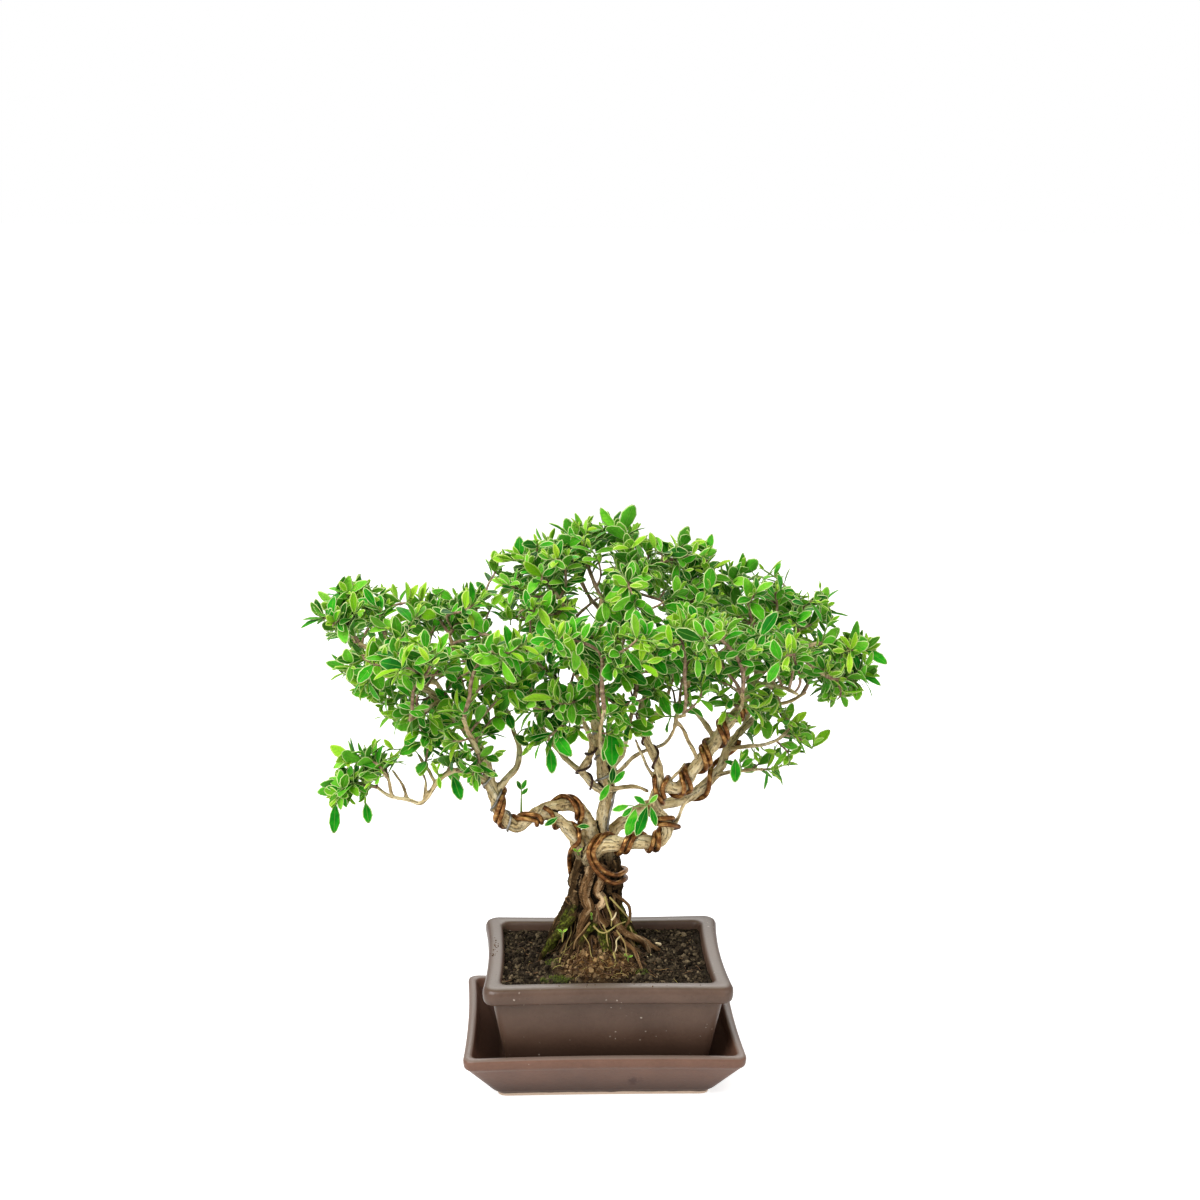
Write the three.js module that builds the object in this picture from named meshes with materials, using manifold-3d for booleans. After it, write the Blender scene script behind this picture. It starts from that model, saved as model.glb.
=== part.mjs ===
// Serissa bonsai with exposed roots, wound with training wire, in a rectangular
// brown stoneware pot that stands on a matching drip tray.
//
// Millimetres. +Z is up, +X is to the right and the front of the tree faces -Y.
// The origin is the centre of the tray's underside, on the table.

import * as THREE from 'three';
import { mergeVertices } from 'three/addons/utils/BufferGeometryUtils.js';
import Module from 'manifold-3d';

const wasm = await Module();
wasm.setup();

// Clearance that touching pieces keep
const gap = 0.3;

// Drip tray
const tray = {
  rimHalfX: 83.5,
  rimHalfY: 62,
  footHalfX: 63,
  footHalfY: 42.5,
  floorHalfX: 61,
  floorHalfY: 43,
  height: 33,
  floor: 6,
  footHeight: 2,
  footDraft: 0.4,
  heelHeight: 4.5,
  heel: 2.5,
  rimBand: 7,
  overhang: 2.6,
  lip: 5.5,
  edge: 1.4,
  cove: 3,
  bow: 2.2,
  footBowShare: 0.3,
  corner: 7,
};

// Pot
const pot = {
  rimHalfX: 75,
  rimHalfY: 57,
  mouthHalfX: 63.5,
  mouthHalfY: 46,
  wallHalfX: 69,
  wallHalfY: 51,
  baseHalfX: 58,
  baseHalfY: 40,
  wall: 5.5,
  base: 9.6,
  floorThickness: 6,
  lipHeight: 10,
  lipRound: 2.5,
  edge: 1.6,
  top: 76,
  bow: 2.5,
  baseBowShare: 0.5,
  corner: 6,
  footSize: 11,
  footInset: 3,
  drainRadius: 6,
  drainX: 27,
};

// Soil
const soil = {
  edge: 70,
  frontRise: 2,
  mound: 9,
  moundX: -2,
  moundY: 2,
  moundSpread: 30,
  // Size of each ring of the surface beside the mouth, from the edge to the middle
  rings: [1, 0.82, 0.62, 0.42, 0.22],
};

// Net over each drainage hole
const net = {
  size: 20,
  thickness: 1,
  holes: 3,
  hole: 3.6,
};

// Training wire
const thickWire = 1.5;
const thinWire = 0.75;
const windingClearance = 0.5;
const pairPitch = 19;

// Leaves and leafy shoots
const leaf = {
  length: 19,
  width: 8.5,
  thickness: 0.9,
  // Radians above square to the twig
  rise: 0.62,
  // Where along the leaf it is widest, and how far it arches there
  widest: 0.55,
  arch: 0.8,
};
const shoot = {
  half: 0.85,
  node: 1.7,
  internode: 10,
  sideInternode: 9,
  bud: 2.2,
  clearance: 0.4,
  // Length next to a joint that isn't tested, because it always touches what it grows from
  joint: 3,
};

// Colours
const materials = {
  stoneware: new THREE.MeshStandardMaterial({ color: 0x5a4640, roughness: 0.55, metalness: 0 }),
  trayware: new THREE.MeshStandardMaterial({ color: 0x60463e, roughness: 0.5, metalness: 0 }),
  soil: new THREE.MeshStandardMaterial({ color: 0x2b221d, roughness: 0.95, metalness: 0 }),
  net: new THREE.MeshStandardMaterial({ color: 0x1d1f1d, roughness: 0.6, metalness: 0 }),
  moss: new THREE.MeshStandardMaterial({ color: 0x5d6b22, roughness: 0.95, metalness: 0 }),
  bark: new THREE.MeshStandardMaterial({ color: 0x8d7a63, roughness: 0.85, metalness: 0 }),
  copper: new THREE.MeshStandardMaterial({ color: 0x7d4426, roughness: 0.35, metalness: 0.8 }),
  silver: new THREE.MeshStandardMaterial({ color: 0xa9abac, roughness: 0.35, metalness: 0.9 }),
  darkWire: new THREE.MeshStandardMaterial({ color: 0x3a2622, roughness: 0.4, metalness: 0.7 }),
  leaves: new THREE.MeshStandardMaterial({ color: 0x4c9a3b, roughness: 0.5, metalness: 0 }),
};

const part = new THREE.Group();

function addPiece(name, geometry, material) {
  const mesh = new THREE.Mesh(geometry, material);
  mesh.name = name;
  part.add(mesh);
  return mesh;
}

// Solids and their meshes

function toSolid(geometry) {
  const bare = geometry.clone();
  bare.deleteAttribute('normal');
  bare.deleteAttribute('uv');
  const merged = mergeVertices(bare, 1e-4);
  return new wasm.Manifold(new wasm.Mesh({
    numProp: 3,
    vertProperties: new Float32Array(merged.attributes.position.array),
    triVerts: new Uint32Array(merged.index.array),
  }));
}

function toGeometry(solid) {
  const mesh = solid.getMesh();
  const geometry = new THREE.BufferGeometry();
  geometry.setAttribute('position', new THREE.BufferAttribute(mesh.vertProperties, 3));
  geometry.setIndex(new THREE.BufferAttribute(mesh.triVerts, 1));
  geometry.computeVertexNormals();
  return geometry;
}

function indexedGeometry(positions, faces) {
  const geometry = new THREE.BufferGeometry();
  geometry.setAttribute('position', new THREE.Float32BufferAttribute(positions, 3));
  geometry.setIndex(faces);
  geometry.computeVertexNormals();
  return geometry;
}

function vector([x, y, z]) {
  return new THREE.Vector3(x, y, z);
}

function curveThrough(points) {
  return new THREE.CatmullRomCurve3(points, false, 'centripetal');
}

// Value at t in 0..1 along a list of evenly spaced values
function along(values, t) {
  const place = t * (values.length - 1);
  const low = Math.min(Math.floor(place), values.length - 2);
  return THREE.MathUtils.lerp(values[low], values[low + 1], place - low);
}

// A tube with closed ends whose radius follows the list radii along the curve
function tube(points, radii, sides, steps) {
  const section = new THREE.Shape();
  for (let i = 0; i < sides; i++) {
    const angle = (i / sides) * 2 * Math.PI;
    const corner = [Math.cos(angle), Math.sin(angle)];
    if (i === 0) {
      section.moveTo(...corner);
    } else {
      section.lineTo(...corner);
    }
  }
  const path = curveThrough(points);
  const geometry = new THREE.ExtrudeGeometry(section, { steps, extrudePath: path, curveSegments: 1 });
  const centres = path.getSpacedPoints(steps);
  const position = geometry.attributes.position;
  const vertex = new THREE.Vector3();
  for (let i = 0; i < position.count; i++) {
    vertex.fromBufferAttribute(position, i);
    let ring = 0;
    for (let j = 1; j <= steps; j++) {
      if (centres[j].distanceToSquared(vertex) < centres[ring].distanceToSquared(vertex)) {
        ring = j;
      }
    }
    vertex.sub(centres[ring]).multiplyScalar(along(radii, ring / steps)).add(centres[ring]);
    position.setXYZ(i, vertex.x, vertex.y, vertex.z);
  }
  return geometry;
}

// Rectangle whose sides bow inwards and whose corners are rounded, as a ring of points
const sideSteps = 5;
const cornerSteps = 3;

function bowedRing(halfX, halfY, bow, corner) {
  const ring = [];
  const sides = [
    [halfX, -halfY, halfX, halfY],
    [halfX, halfY, -halfX, halfY],
    [-halfX, halfY, -halfX, -halfY],
    [-halfX, -halfY, halfX, -halfY],
  ];
  for (const [x0, y0, x1, y1] of sides) {
    const length = Math.hypot(x1 - x0, y1 - y0);
    const [dx, dy] = [(x1 - x0) / length, (y1 - y0) / length];
    for (let i = 0; i < sideSteps; i++) {
      const s = corner + ((length - 2 * corner) * i) / (sideSteps - 1);
      const inward = bow * (1 - (2 * s / length - 1) ** 2);
      ring.push([x0 + dx * s - dy * inward, y0 + dy * s + dx * inward]);
    }
    const [endX, endY] = ring[ring.length - 1];
    const next = [x1 - dy * corner, y1 + dx * corner];
    for (let i = 1; i < cornerSteps; i++) {
      const t = i / cornerSteps;
      ring.push([
        (1 - t) ** 2 * endX + 2 * t * (1 - t) * x1 + t ** 2 * next[0],
        (1 - t) ** 2 * endY + 2 * t * (1 - t) * y1 + t ** 2 * next[1],
      ]);
    }
  }
  return ring;
}

// Closed body through a stack of rings, each [halfX, halfY, z, share of the bow],
// from the middle of one end face over the outside to the middle of the other
function loft(rings, bow, corner, capHeights) {
  const positions = [];
  const faces = [];
  for (const [halfX, halfY, z, bowShare = 1] of rings) {
    for (const [x, y] of bowedRing(halfX, halfY, bow * bowShare, corner)) {
      positions.push(x, y, z);
    }
  }
  const count = positions.length / 3 / rings.length;
  for (let r = 0; r + 1 < rings.length; r++) {
    for (let i = 0; i < count; i++) {
      const a = r * count + i;
      const b = r * count + ((i + 1) % count);
      faces.push(a, b, b + count, a, b + count, a + count);
    }
  }
  const first = positions.length / 3;
  positions.push(0, 0, capHeights[0], 0, 0, capHeights[1]);
  const last = (rings.length - 1) * count;
  for (let i = 0; i < count; i++) {
    const j = (i + 1) % count;
    faces.push(first, j, i, first + 1, last + i, last + j);
  }
  return indexedGeometry(positions, faces);
}

// Drip tray with steep flared walls and a rounded rim

function makeTray() {
  const { height, floor, rimBand, edge, footBowShare } = tray;
  const foot = (outset) => [tray.footHalfX + outset, tray.footHalfY + outset];
  const rim = (inset) => [tray.rimHalfX - inset, tray.rimHalfY - inset];
  const inside = (outset) => [tray.floorHalfX + outset, tray.floorHalfY + outset];
  return loft([
    [...foot(0), 0, footBowShare],
    [...foot(tray.footDraft), tray.footHeight, footBowShare],
    [...foot(tray.heel), tray.heelHeight, footBowShare],
    [...rim(tray.overhang), height - rimBand - edge],
    [...rim(tray.footDraft), height - rimBand + edge],
    [...rim(0), height - 2 * edge],
    [...rim(edge), height],
    [...rim(tray.lip - edge), height],
    [...rim(tray.lip), height - edge],
    [...inside(tray.cove), floor + tray.cove, footBowShare],
    [...inside(0), floor, footBowShare],
  ], tray.bow, tray.corner, [0, floor]);
}

// Half sizes of the pot's inner wall at a height
function potInside(z, inset = 0) {
  const t = (z - pot.base) / (pot.top - pot.lipHeight - pot.base);
  return [
    THREE.MathUtils.lerp(pot.baseHalfX, pot.wallHalfX, t) - pot.wall - inset,
    THREE.MathUtils.lerp(pot.baseHalfY, pot.wallHalfY, t) - pot.wall - inset,
  ];
}

// Pot with an overhanging lip, two drainage holes and four feet

function makePot() {
  const { base, top, edge, baseBowShare } = pot;
  const lipBottom = top - pot.lipHeight;
  const floor = base + pot.floorThickness;
  const rim = (inset) => [pot.rimHalfX - inset, pot.rimHalfY - inset];
  const mouth = (outset) => [pot.mouthHalfX + outset, pot.mouthHalfY + outset];
  let solid = toSolid(loft([
    [pot.baseHalfX, pot.baseHalfY, base, baseBowShare],
    [pot.wallHalfX, pot.wallHalfY, lipBottom - edge],
    [...rim(edge), lipBottom],
    [...rim(0), lipBottom + edge],
    [...rim(0), top - pot.lipRound],
    [...rim(edge), top],
    [...mouth(edge), top],
    [...mouth(0), top - edge],
    [...potInside(lipBottom), lipBottom],
    [...potInside(floor), floor, baseBowShare],
  ], pot.bow, pot.corner, [base, floor]));
  for (const x of [-pot.drainX, pot.drainX]) {
    const drill = new THREE.CylinderGeometry(pot.drainRadius, pot.drainRadius, 3 * pot.floorThickness, 16);
    drill.rotateX(Math.PI / 2);
    drill.translate(x, 0, floor);
    solid = solid.subtract(toSolid(drill));
  }
  // Each foot reaches into the pot's floor
  const footBottom = tray.floor + gap;
  const footHeight = base + pot.floorThickness / 2 - footBottom;
  const inset = pot.footSize / 2 + pot.footInset;
  for (const x of [-1, 1]) {
    for (const y of [-1, 1]) {
      const foot = new THREE.BoxGeometry(pot.footSize, pot.footSize, footHeight);
      foot.translate(x * (pot.baseHalfX - inset), y * (pot.baseHalfY - inset), footBottom + footHeight / 2);
      solid = solid.add(toSolid(foot));
    }
  }
  return solid;
}

// Soil, which rises to a mound round the trunk

function soilHeight(x, y) {
  const far = ((x - soil.moundX) ** 2 + (y - soil.moundY) ** 2) / soil.moundSpread ** 2;
  const front = soil.frontRise * THREE.MathUtils.smoothstep(-y, 0, pot.mouthHalfY);
  return soil.edge + front + soil.mound * Math.exp(-far / 2);
}

function soilBody(raise) {
  const bottom = pot.base + pot.floorThickness + gap;
  const positions = [];
  const faces = [];
  for (const [x, y] of bowedRing(...potInside(bottom, gap), pot.bow, pot.corner)) {
    positions.push(x, y, bottom);
  }
  const count = positions.length / 3;
  for (const share of soil.rings) {
    for (const [x, y] of bowedRing(pot.mouthHalfX - 2 * gap, pot.mouthHalfY - 3 * gap, pot.bow, pot.corner)) {
      positions.push(x * share, y * share, soilHeight(x * share, y * share) + raise);
    }
  }
  for (let r = 0; r < soil.rings.length; r++) {
    for (let i = 0; i < count; i++) {
      const a = r * count + i;
      const b = r * count + ((i + 1) % count);
      faces.push(a, b, b + count, a, b + count, a + count);
    }
  }
  const centre = positions.length / 3;
  positions.push(0, 0, bottom, 0, 0, soilHeight(0, 0) + raise);
  const last = soil.rings.length * count;
  for (let i = 0; i < count; i++) {
    const j = (i + 1) % count;
    faces.push(centre, j, i, centre + 1, last + i, last + j);
  }
  return toSolid(indexedGeometry(positions, faces));
}

// Net: a small square plate with square holes

function makeNet(x) {
  const bottom = pot.base + pot.floorThickness + gap;
  const plate = new THREE.BoxGeometry(net.size, net.size, net.thickness);
  plate.translate(x, 0, bottom + net.thickness / 2);
  let solid = toSolid(plate);
  const pitch = net.size / net.holes;
  for (let i = 0; i < net.holes; i++) {
    for (let j = 0; j < net.holes; j++) {
      const hole = new THREE.BoxGeometry(net.hole, net.hole, 3 * net.thickness);
      hole.translate(x + (i + 0.5) * pitch - net.size / 2, (j + 0.5) * pitch - net.size / 2, bottom);
      solid = solid.subtract(toSolid(hole));
    }
  }
  return solid;
}

// Tree: each limb is a route through points in millimetres, with its radii spread evenly along it

const limbs = [
  { radii: [19, 16, 14.5, 14.5, 13, 10], sides: 10, steps: 6,
    route: [[-3, 8, 64], [-3, 8, 83], [-3, 8, 106], [-4, 7, 125], [-5, 5, 140], [-5, 5, 146]] },
  { radii: [4, 5, 4.6, 4, 2.6, 1.6], sides: 6, steps: 7,
    route: [[-12, -1, 136], [-17, -3, 125], [-19, -3, 114], [-18, -4, 106], [-23, -6, 100],
      [-30, -7, 90], [-38, -8, 79], [-42, -8, 70]] },
  { radii: [3.6, 2.8, 1.8], sides: 6, steps: 4,
    route: [[-19, 0, 106], [-25, 0, 93], [-30, 0, 81], [-36, 0, 68]] },
  { radii: [4, 4.6, 4.4, 4, 3], sides: 6, steps: 7,
    route: [[-7, -4, 134], [-9, -6, 125], [-10, -7, 115], [-9, -8, 110], [-12, -9, 104],
      [-15, -11, 95], [-18, -15, 80]] },
  { radii: [3, 3.4, 3.2, 2.8, 2.4], sides: 6, steps: 7,
    route: [[-1, -5, 133], [-2, -6, 124], [-3, -7, 117], [1, -8, 112], [-4, -9, 107],
      [-2, -10, 101], [3, -11, 97]] },
  { radii: [2.6, 2.6, 2, 1.8], sides: 4, steps: 4,
    route: [[-1, -9, 99], [-8, -11, 96], [-13, -14, 88], [-16, -17, 78]] },
  { radii: [3.4, 3.4, 3, 2.4, 1.6], sides: 6, steps: 6,
    route: [[1, -4, 107], [6, -7, 99], [11, -9, 93], [19, -8, 88], [25, -5, 83], [30, 0, 74]] },
  { radii: [2, 1.8, 1.4], sides: 4, steps: 3,
    route: [[19, -8, 88], [27, -2, 83], [36, 6, 73]] },
  { radii: [1.2, 1.1, 1.1, 1], sides: 4, steps: 5,
    route: [[3, -1, 116], [11, -6, 113], [16, -7, 108], [17, -6, 100], [12, -6, 90]] },
  { radii: [1.5, 1.4, 1.2, 1], sides: 4, steps: 4,
    route: [[4, -8, 94], [12, -14, 88], [19, -19, 83], [24, -26, 73]] },
  { radii: [4, 4.4, 4, 3, 2.2], sides: 6, steps: 6,
    route: [[7, 3, 134], [10, 3, 121], [10, 3, 110], [12, 3, 100], [18, 4, 90], [27, 7, 76]] },
  { radii: [3, 3, 2.4], sides: 6, steps: 3,
    route: [[-2, -7, 98], [0, -13, 88], [3, -19, 76]] },
  // Roots at the back
  { radii: [4.4, 4.6, 4, 3, 2], sides: 6, steps: 6,
    route: [[3, 15, 136], [6, 18, 120], [5, 19, 108], [9, 21, 98], [15, 25, 87], [22, 30, 73]] },
  { radii: [4.4, 4.8, 4.2, 3.4, 2.4], sides: 6, steps: 6,
    route: [[-7, 16, 137], [-6, 20, 122], [-9, 21, 109], [-7, 23, 97], [-10, 28, 86], [-13, 35, 71]] },
  { radii: [4, 4.4, 4, 3, 2], sides: 6, steps: 6,
    route: [[-13, 11, 136], [-16, 12, 122], [-16, 15, 110], [-20, 17, 98], [-26, 20, 86], [-33, 24, 70]] },
  // Left arch, its prop, and the low left branch
  { name: 'left_arch', radii: [4.6, 3.8, 3.6, 3.5, 3.4, 3.2, 2.8, 2.2, 1.6, 1.2], sides: 6, steps: 24,
    route: [[-5, 4, 138], [-7, 2, 153], [-13, 1, 167], [-23, 0, 171], [-34, -2, 170], [-43, -5, 166],
      [-53, -8, 160], [-62, -10, 169], [-66, -10, 179], [-69, -8, 190], [-73, -6, 203], [-83, -10, 223],
      [-98, -14, 241], [-117, -16, 256], [-136, -14, 269], [-146, -11, 276]] },
  { name: 'left_prop', radii: [4.6, 3.8, 3.4, 3.2], sides: 7, steps: 6,
    route: [[-12, 0, 136], [-18, -3, 151], [-25, -5, 161], [-34, -5, 166], [-43, -5, 166]] },
  { radii: [2, 1.7, 1.4, 1.1], sides: 4, steps: 11,
    route: [[-68, -9, 187], [-79, -12, 195], [-88, -14, 198], [-94, -15, 196], [-101, -16, 190],
      [-110, -16, 178], [-117, -16, 180], [-127, -14, 181], [-137, -11, 187]], tip: true },
  { radii: [1.3, 1.1], sides: 4, steps: 3, route: [[-127, -14, 181], [-129, -20, 194], [-131, -25, 200]],
    tip: true },
  { radii: [1.3, 1.1], sides: 4, steps: 3, route: [[-101, -16, 190], [-107, -9, 198], [-112, -2, 204]],
    tip: true },
  { radii: [2.4, 1.8, 1.2], sides: 6, steps: 6,
    route: [[-65, -9, 182], [-59, -6, 190], [-53, -2, 196], [-51, 3, 204], [-54, 10, 214], [-58, 17, 226]],
    tip: true },
  { radii: [2.2, 1.6, 1.2], sides: 4, steps: 5,
    route: [[-79, -8, 217], [-82, 0, 230], [-86, 6, 246], [-90, 8, 262], [-93, 7, 276]], tip: true },
  { radii: [2, 1.5, 1.2], sides: 4, steps: 4,
    route: [[-71, -6, 197], [-76, -24, 213], [-81, -44, 232], [-83, -56, 242]], tip: true },
  { radii: [2.2, 1.6, 1.2], sides: 4, steps: 4,
    route: [[-83, -10, 223], [-92, 14, 230], [-103, 38, 238], [-111, 54, 245]], tip: true },
  { radii: [1.6, 1.2], sides: 4, steps: 3, route: [[-117, -16, 256], [-125, -7, 268], [-131, -1, 278]],
    tip: true },
  { radii: [1.5, 1.1], sides: 4, steps: 3, route: [[-134, -14, 268], [-143, -22, 270], [-150, -28, 268]],
    tip: true },
  { radii: [1.6, 1.1], sides: 4, steps: 3, route: [[-98, -14, 241], [-106, -30, 240], [-114, -46, 238]],
    tip: true },
  { radii: [1.6, 1.2], sides: 4, steps: 3, route: [[-103, 38, 238], [-122, 42, 238], [-138, 40, 242]],
    tip: true },
  // Middle stem, which swells where it was wired, and what grows from it
  { name: 'centre_stem', radii: [4.2, 3.8, 3.8, 5.6, 4, 3, 2.8, 2.5, 2.1, 1.2], sides: 6, steps: 14,
    route: [[-2, 6, 134], [-1, 6, 148], [0, 6, 163], [2, 6, 174], [2, 6, 185], [0, 6, 198], [-3, 8, 213],
      [-6, 10, 231], [-5, 10, 253], [-3, 8, 279], [-2, 4, 300]], tip: true },
  { name: 'centre_left', radii: [2.4, 2.2, 1.8, 1.2], sides: 6, steps: 8,
    route: [[1, 5, 177], [-7, 1, 184], [-13, -2, 193], [-9, -6, 203], [-8, -12, 214], [-14, -22, 232],
      [-21, -31, 247]], tip: true },
  { radii: [1.8, 1.5, 1.2], sides: 4, steps: 7,
    route: [[-13, -2, 192], [-26, 10, 201], [-35, 16, 211], [-42, 20, 227], [-43, 22, 250], [-45, 18, 272]],
    tip: true },
  { radii: [1.8, 1.5, 1.2], sides: 4, steps: 6,
    route: [[2, 5, 181], [5, 2, 193], [12, -4, 205], [13, -10, 216], [15, -24, 236], [16, -36, 249]],
    tip: true },
  { radii: [2.2, 1.6, 1.2], sides: 4, steps: 5,
    route: [[-3, 8, 213], [0, 28, 222], [7, 52, 229], [13, 70, 235]], tip: true },
  { radii: [1.8, 1.4, 1.2], sides: 4, steps: 4,
    route: [[-6, 10, 231], [-12, 34, 237], [-20, 58, 245], [-27, 74, 252]], tip: true },
  { radii: [1.8, 1.4, 1.2], sides: 4, steps: 5,
    route: [[2, 5, 188], [-2, -16, 209], [-4, -38, 230], [-3, -54, 243], [-3, -64, 250]], tip: true },
  { radii: [1.6, 1.2], sides: 4, steps: 4,
    route: [[-5, 10, 259], [-15, 4, 280], [-26, 0, 297], [-30, -1, 304]], tip: true },
  { radii: [1.5, 1.2], sides: 4, steps: 3, route: [[-3, 8, 282], [6, 2, 298], [14, -3, 311]], tip: true },
  { radii: [1.6, 1.2], sides: 4, steps: 3, route: [[-5, 10, 253], [-2, 28, 268], [0, 42, 282]], tip: true },
  { radii: [1.4, 1.3, 1.1], sides: 4, steps: 6,
    route: [[2, 5, 184], [8, 1, 191], [18, -6, 203], [27, -10, 209], [35, -14, 214], [40, -18, 223],
      [42, -32, 240]], tip: true },
  { name: 'centre_link', radii: [1.8, 1.4, 1.2], sides: 4, steps: 4,
    route: [[2, 5, 178], [10, -2, 182], [19, -10, 186], [26, -17, 185]] },
  // Right branches
  { name: 'right_low', radii: [5.2, 5, 3.9, 3.6, 3.6, 3.6, 3.8, 3.8, 3.4, 2.8, 2.2, 1.6, 1.2], sides: 6,
    steps: 27,
    route: [[-7, -1, 130], [-7, -5, 142], [0, -9, 148], [12, -11, 150], [24, -13, 152], [33, -15, 153],
      [38, -16, 159], [37, -17, 166], [32, -17, 173], [30, -17, 180], [34, -16, 187], [45, -14, 187],
      [54, -12, 197], [62, -9, 206], [72, -5, 220], [82, -2, 233], [89, 0, 247], [101, 0, 260],
      [115, -2, 268], [127, -3, 273]], tip: true },
  { name: 'right_back', radii: [4.4, 3.6, 3.4, 3.2, 2.6, 2, 1.2], sides: 6, steps: 15,
    route: [[1, 9, 138], [8, 12, 152], [16, 14, 157], [27, 15, 164], [43, 15, 167], [55, 15, 171],
      [66, 16, 180], [73, 17, 189], [78, 20, 201], [88, 28, 211], [102, 36, 222], [112, 42, 232]],
    tip: true },
  { name: 'junction_up', radii: [2.8, 2.6, 2.2, 1.8, 1.2], sides: 6, steps: 10,
    route: [[33, -16, 186], [32, -15, 199], [27, -14, 211], [23, -12, 222], [22, -8, 232], [27, 0, 246],
      [36, 8, 264], [42, 11, 282]], tip: true },
  { radii: [1.6, 1.2], sides: 4, steps: 4,
    route: [[23, -12, 220], [34, 14, 226], [42, 38, 232], [46, 54, 238]], tip: true },
  { radii: [1.4, 1.1], sides: 4, steps: 5,
    route: [[57, -11, 201], [52, -14, 211], [46, -18, 223], [41, -26, 233], [42, -46, 240], [44, -54, 243]],
    tip: true },
  { radii: [1.8, 1.5, 1.2], sides: 4, steps: 6,
    route: [[67, -7, 213], [63, -2, 220], [57, 4, 227], [51, 10, 236], [55, 14, 254], [60, 14, 270]],
    tip: true },
  { radii: [1.6, 1.2], sides: 4, steps: 4,
    route: [[78, -3, 228], [80, -24, 240], [78, -44, 250], [76, -56, 256]], tip: true },
  { radii: [1.6, 1.2], sides: 4, steps: 4,
    route: [[89, 0, 247], [97, -20, 252], [105, -36, 254], [110, -46, 253]], tip: true },
  { radii: [1.8, 1.2], sides: 4, steps: 4, route: [[91, 0, 250], [93, 4, 267], [91, 6, 284]], tip: true },
  { radii: [1.4, 1.1], sides: 4, steps: 3, route: [[108, -1, 265], [115, 6, 275], [120, 10, 282]],
    tip: true },
  { radii: [1.6, 1.2], sides: 4, steps: 4,
    route: [[88, 28, 211], [95, 48, 219], [96, 66, 227], [95, 76, 232]], tip: true },
  { radii: [1.4, 1.1], sides: 4, steps: 5,
    route: [[64, 16, 179], [77, 12, 188], [88, 8, 190], [98, 4, 192]], tip: true },
  { radii: [1.5, 1.3, 1.1], sides: 4, steps: 5,
    route: [[78, 19, 200], [87, 12, 204], [97, 6, 207], [107, 2, 212], [114, 0, 220]], tip: true },
  { radii: [1.4, 1.1], sides: 4, steps: 3, route: [[112, -2, 267], [122, -12, 262], [130, -20, 257]],
    tip: true },
  { radii: [1.4, 1.1], sides: 4, steps: 3, route: [[102, 36, 222], [118, 44, 224], [130, 50, 228]],
    tip: true },
];

function limbTube(limb, extra = 0) {
  return toSolid(tube(limb.route.map(vector), limb.radii.map((r) => r + extra), limb.sides, limb.steps));
}

// Root ball: the buried plug that holds the trunk in the soil
const plug = { x: -3, y: 8, topRadius: 15, bottomRadius: 11, top: 82, bottom: 48 };

function rootPlug(extra) {
  const height = plug.top - plug.bottom + extra;
  const geometry = new THREE.CylinderGeometry(plug.topRadius + extra, plug.bottomRadius + extra, height, 12);
  geometry.rotateX(Math.PI / 2);
  geometry.translate(plug.x, plug.y, plug.top - height / 2);
  return toSolid(geometry);
}

// Moss: low cushions that lie on the soil, clear of the roots

const mossPatches = [
  { name: 'moss_front', at: [-27, -37], size: [15, 6, 3.4] },
  { name: 'moss_left', at: [-29, -17], size: [11, 7, 3] },
  { name: 'moss_right', at: [24, -34], size: [12, 6, 2.6] },
];

function makeMoss({ at: [x, y], size }) {
  const cushion = new THREE.IcosahedronGeometry(1, 1);
  cushion.scale(...size);
  cushion.translate(x, y, soilHeight(x, y));
  let solid = toSolid(cushion).subtract(soilBody(gap));
  for (const limb of limbs.filter((other) => other.route.some((point) => point[2] < plug.top))) {
    solid = solid.subtract(limbTube(limb, gap));
  }
  return solid;
}

// Training wire wound round a limb as a helix. Where another limb is in its way, it rides over it

const turn = 2 * Math.PI;

function roundsOf(points, radii) {
  const path = curveThrough(points);
  const samples = Math.ceil(path.getLength() / 1.5);
  return path.getSpacedPoints(samples).map((centre, i) => ({ centre, radius: along(radii, i / samples) }));
}

const inTheWay = limbs.flatMap((limb) => roundsOf(limb.route.map(vector), limb.radii));

function pushOff(point, wireRadius) {
  const away = new THREE.Vector3();
  for (let pass = 0; pass < 6; pass++) {
    for (const { centre, radius } of inTheWay) {
      const reach = radius + wireRadius + windingClearance;
      away.subVectors(point, centre);
      if (away.length() < reach) {
        point.copy(centre).addScaledVector(away.normalize(), reach);
      }
    }
  }
  return point;
}

function windWire(points, options) {
  const { from, to, pitch, phase, radius, wireRadius, stepsPerTurn = 7 } = options;
  const path = curveThrough(points);
  const length = path.getLength();
  const turns = (length * (to - from)) / pitch;
  const samples = Math.ceil(turns * 10);
  const divisions = 400;
  const frames = path.computeFrenetFrames(divisions, false);
  const wire = [];
  for (let i = 0; i <= samples; i++) {
    const t = from + ((to - from) * i) / samples;
    const k = Math.round(t * divisions);
    const angle = phase + (t * length * turn) / pitch;
    const reach = (along(radius, t) + wireRadius + windingClearance) / Math.cos(Math.PI / stepsPerTurn);
    const point = path.getPointAt(t)
      .addScaledVector(frames.normals[k], reach * Math.cos(angle))
      .addScaledVector(frames.binormals[k], reach * Math.sin(angle));
    wire.push(pushOff(point, wireRadius));
  }
  return { points: wire, steps: Math.ceil(turns * stepsPerTurn) };
}

function wireGeometry(points, wireRadius, steps, sides) {
  return tube(points, [wireRadius, wireRadius], sides, steps);
}

const limbNamed = (name) => limbs.find((limb) => limb.name === name);
const wires = [];

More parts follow.
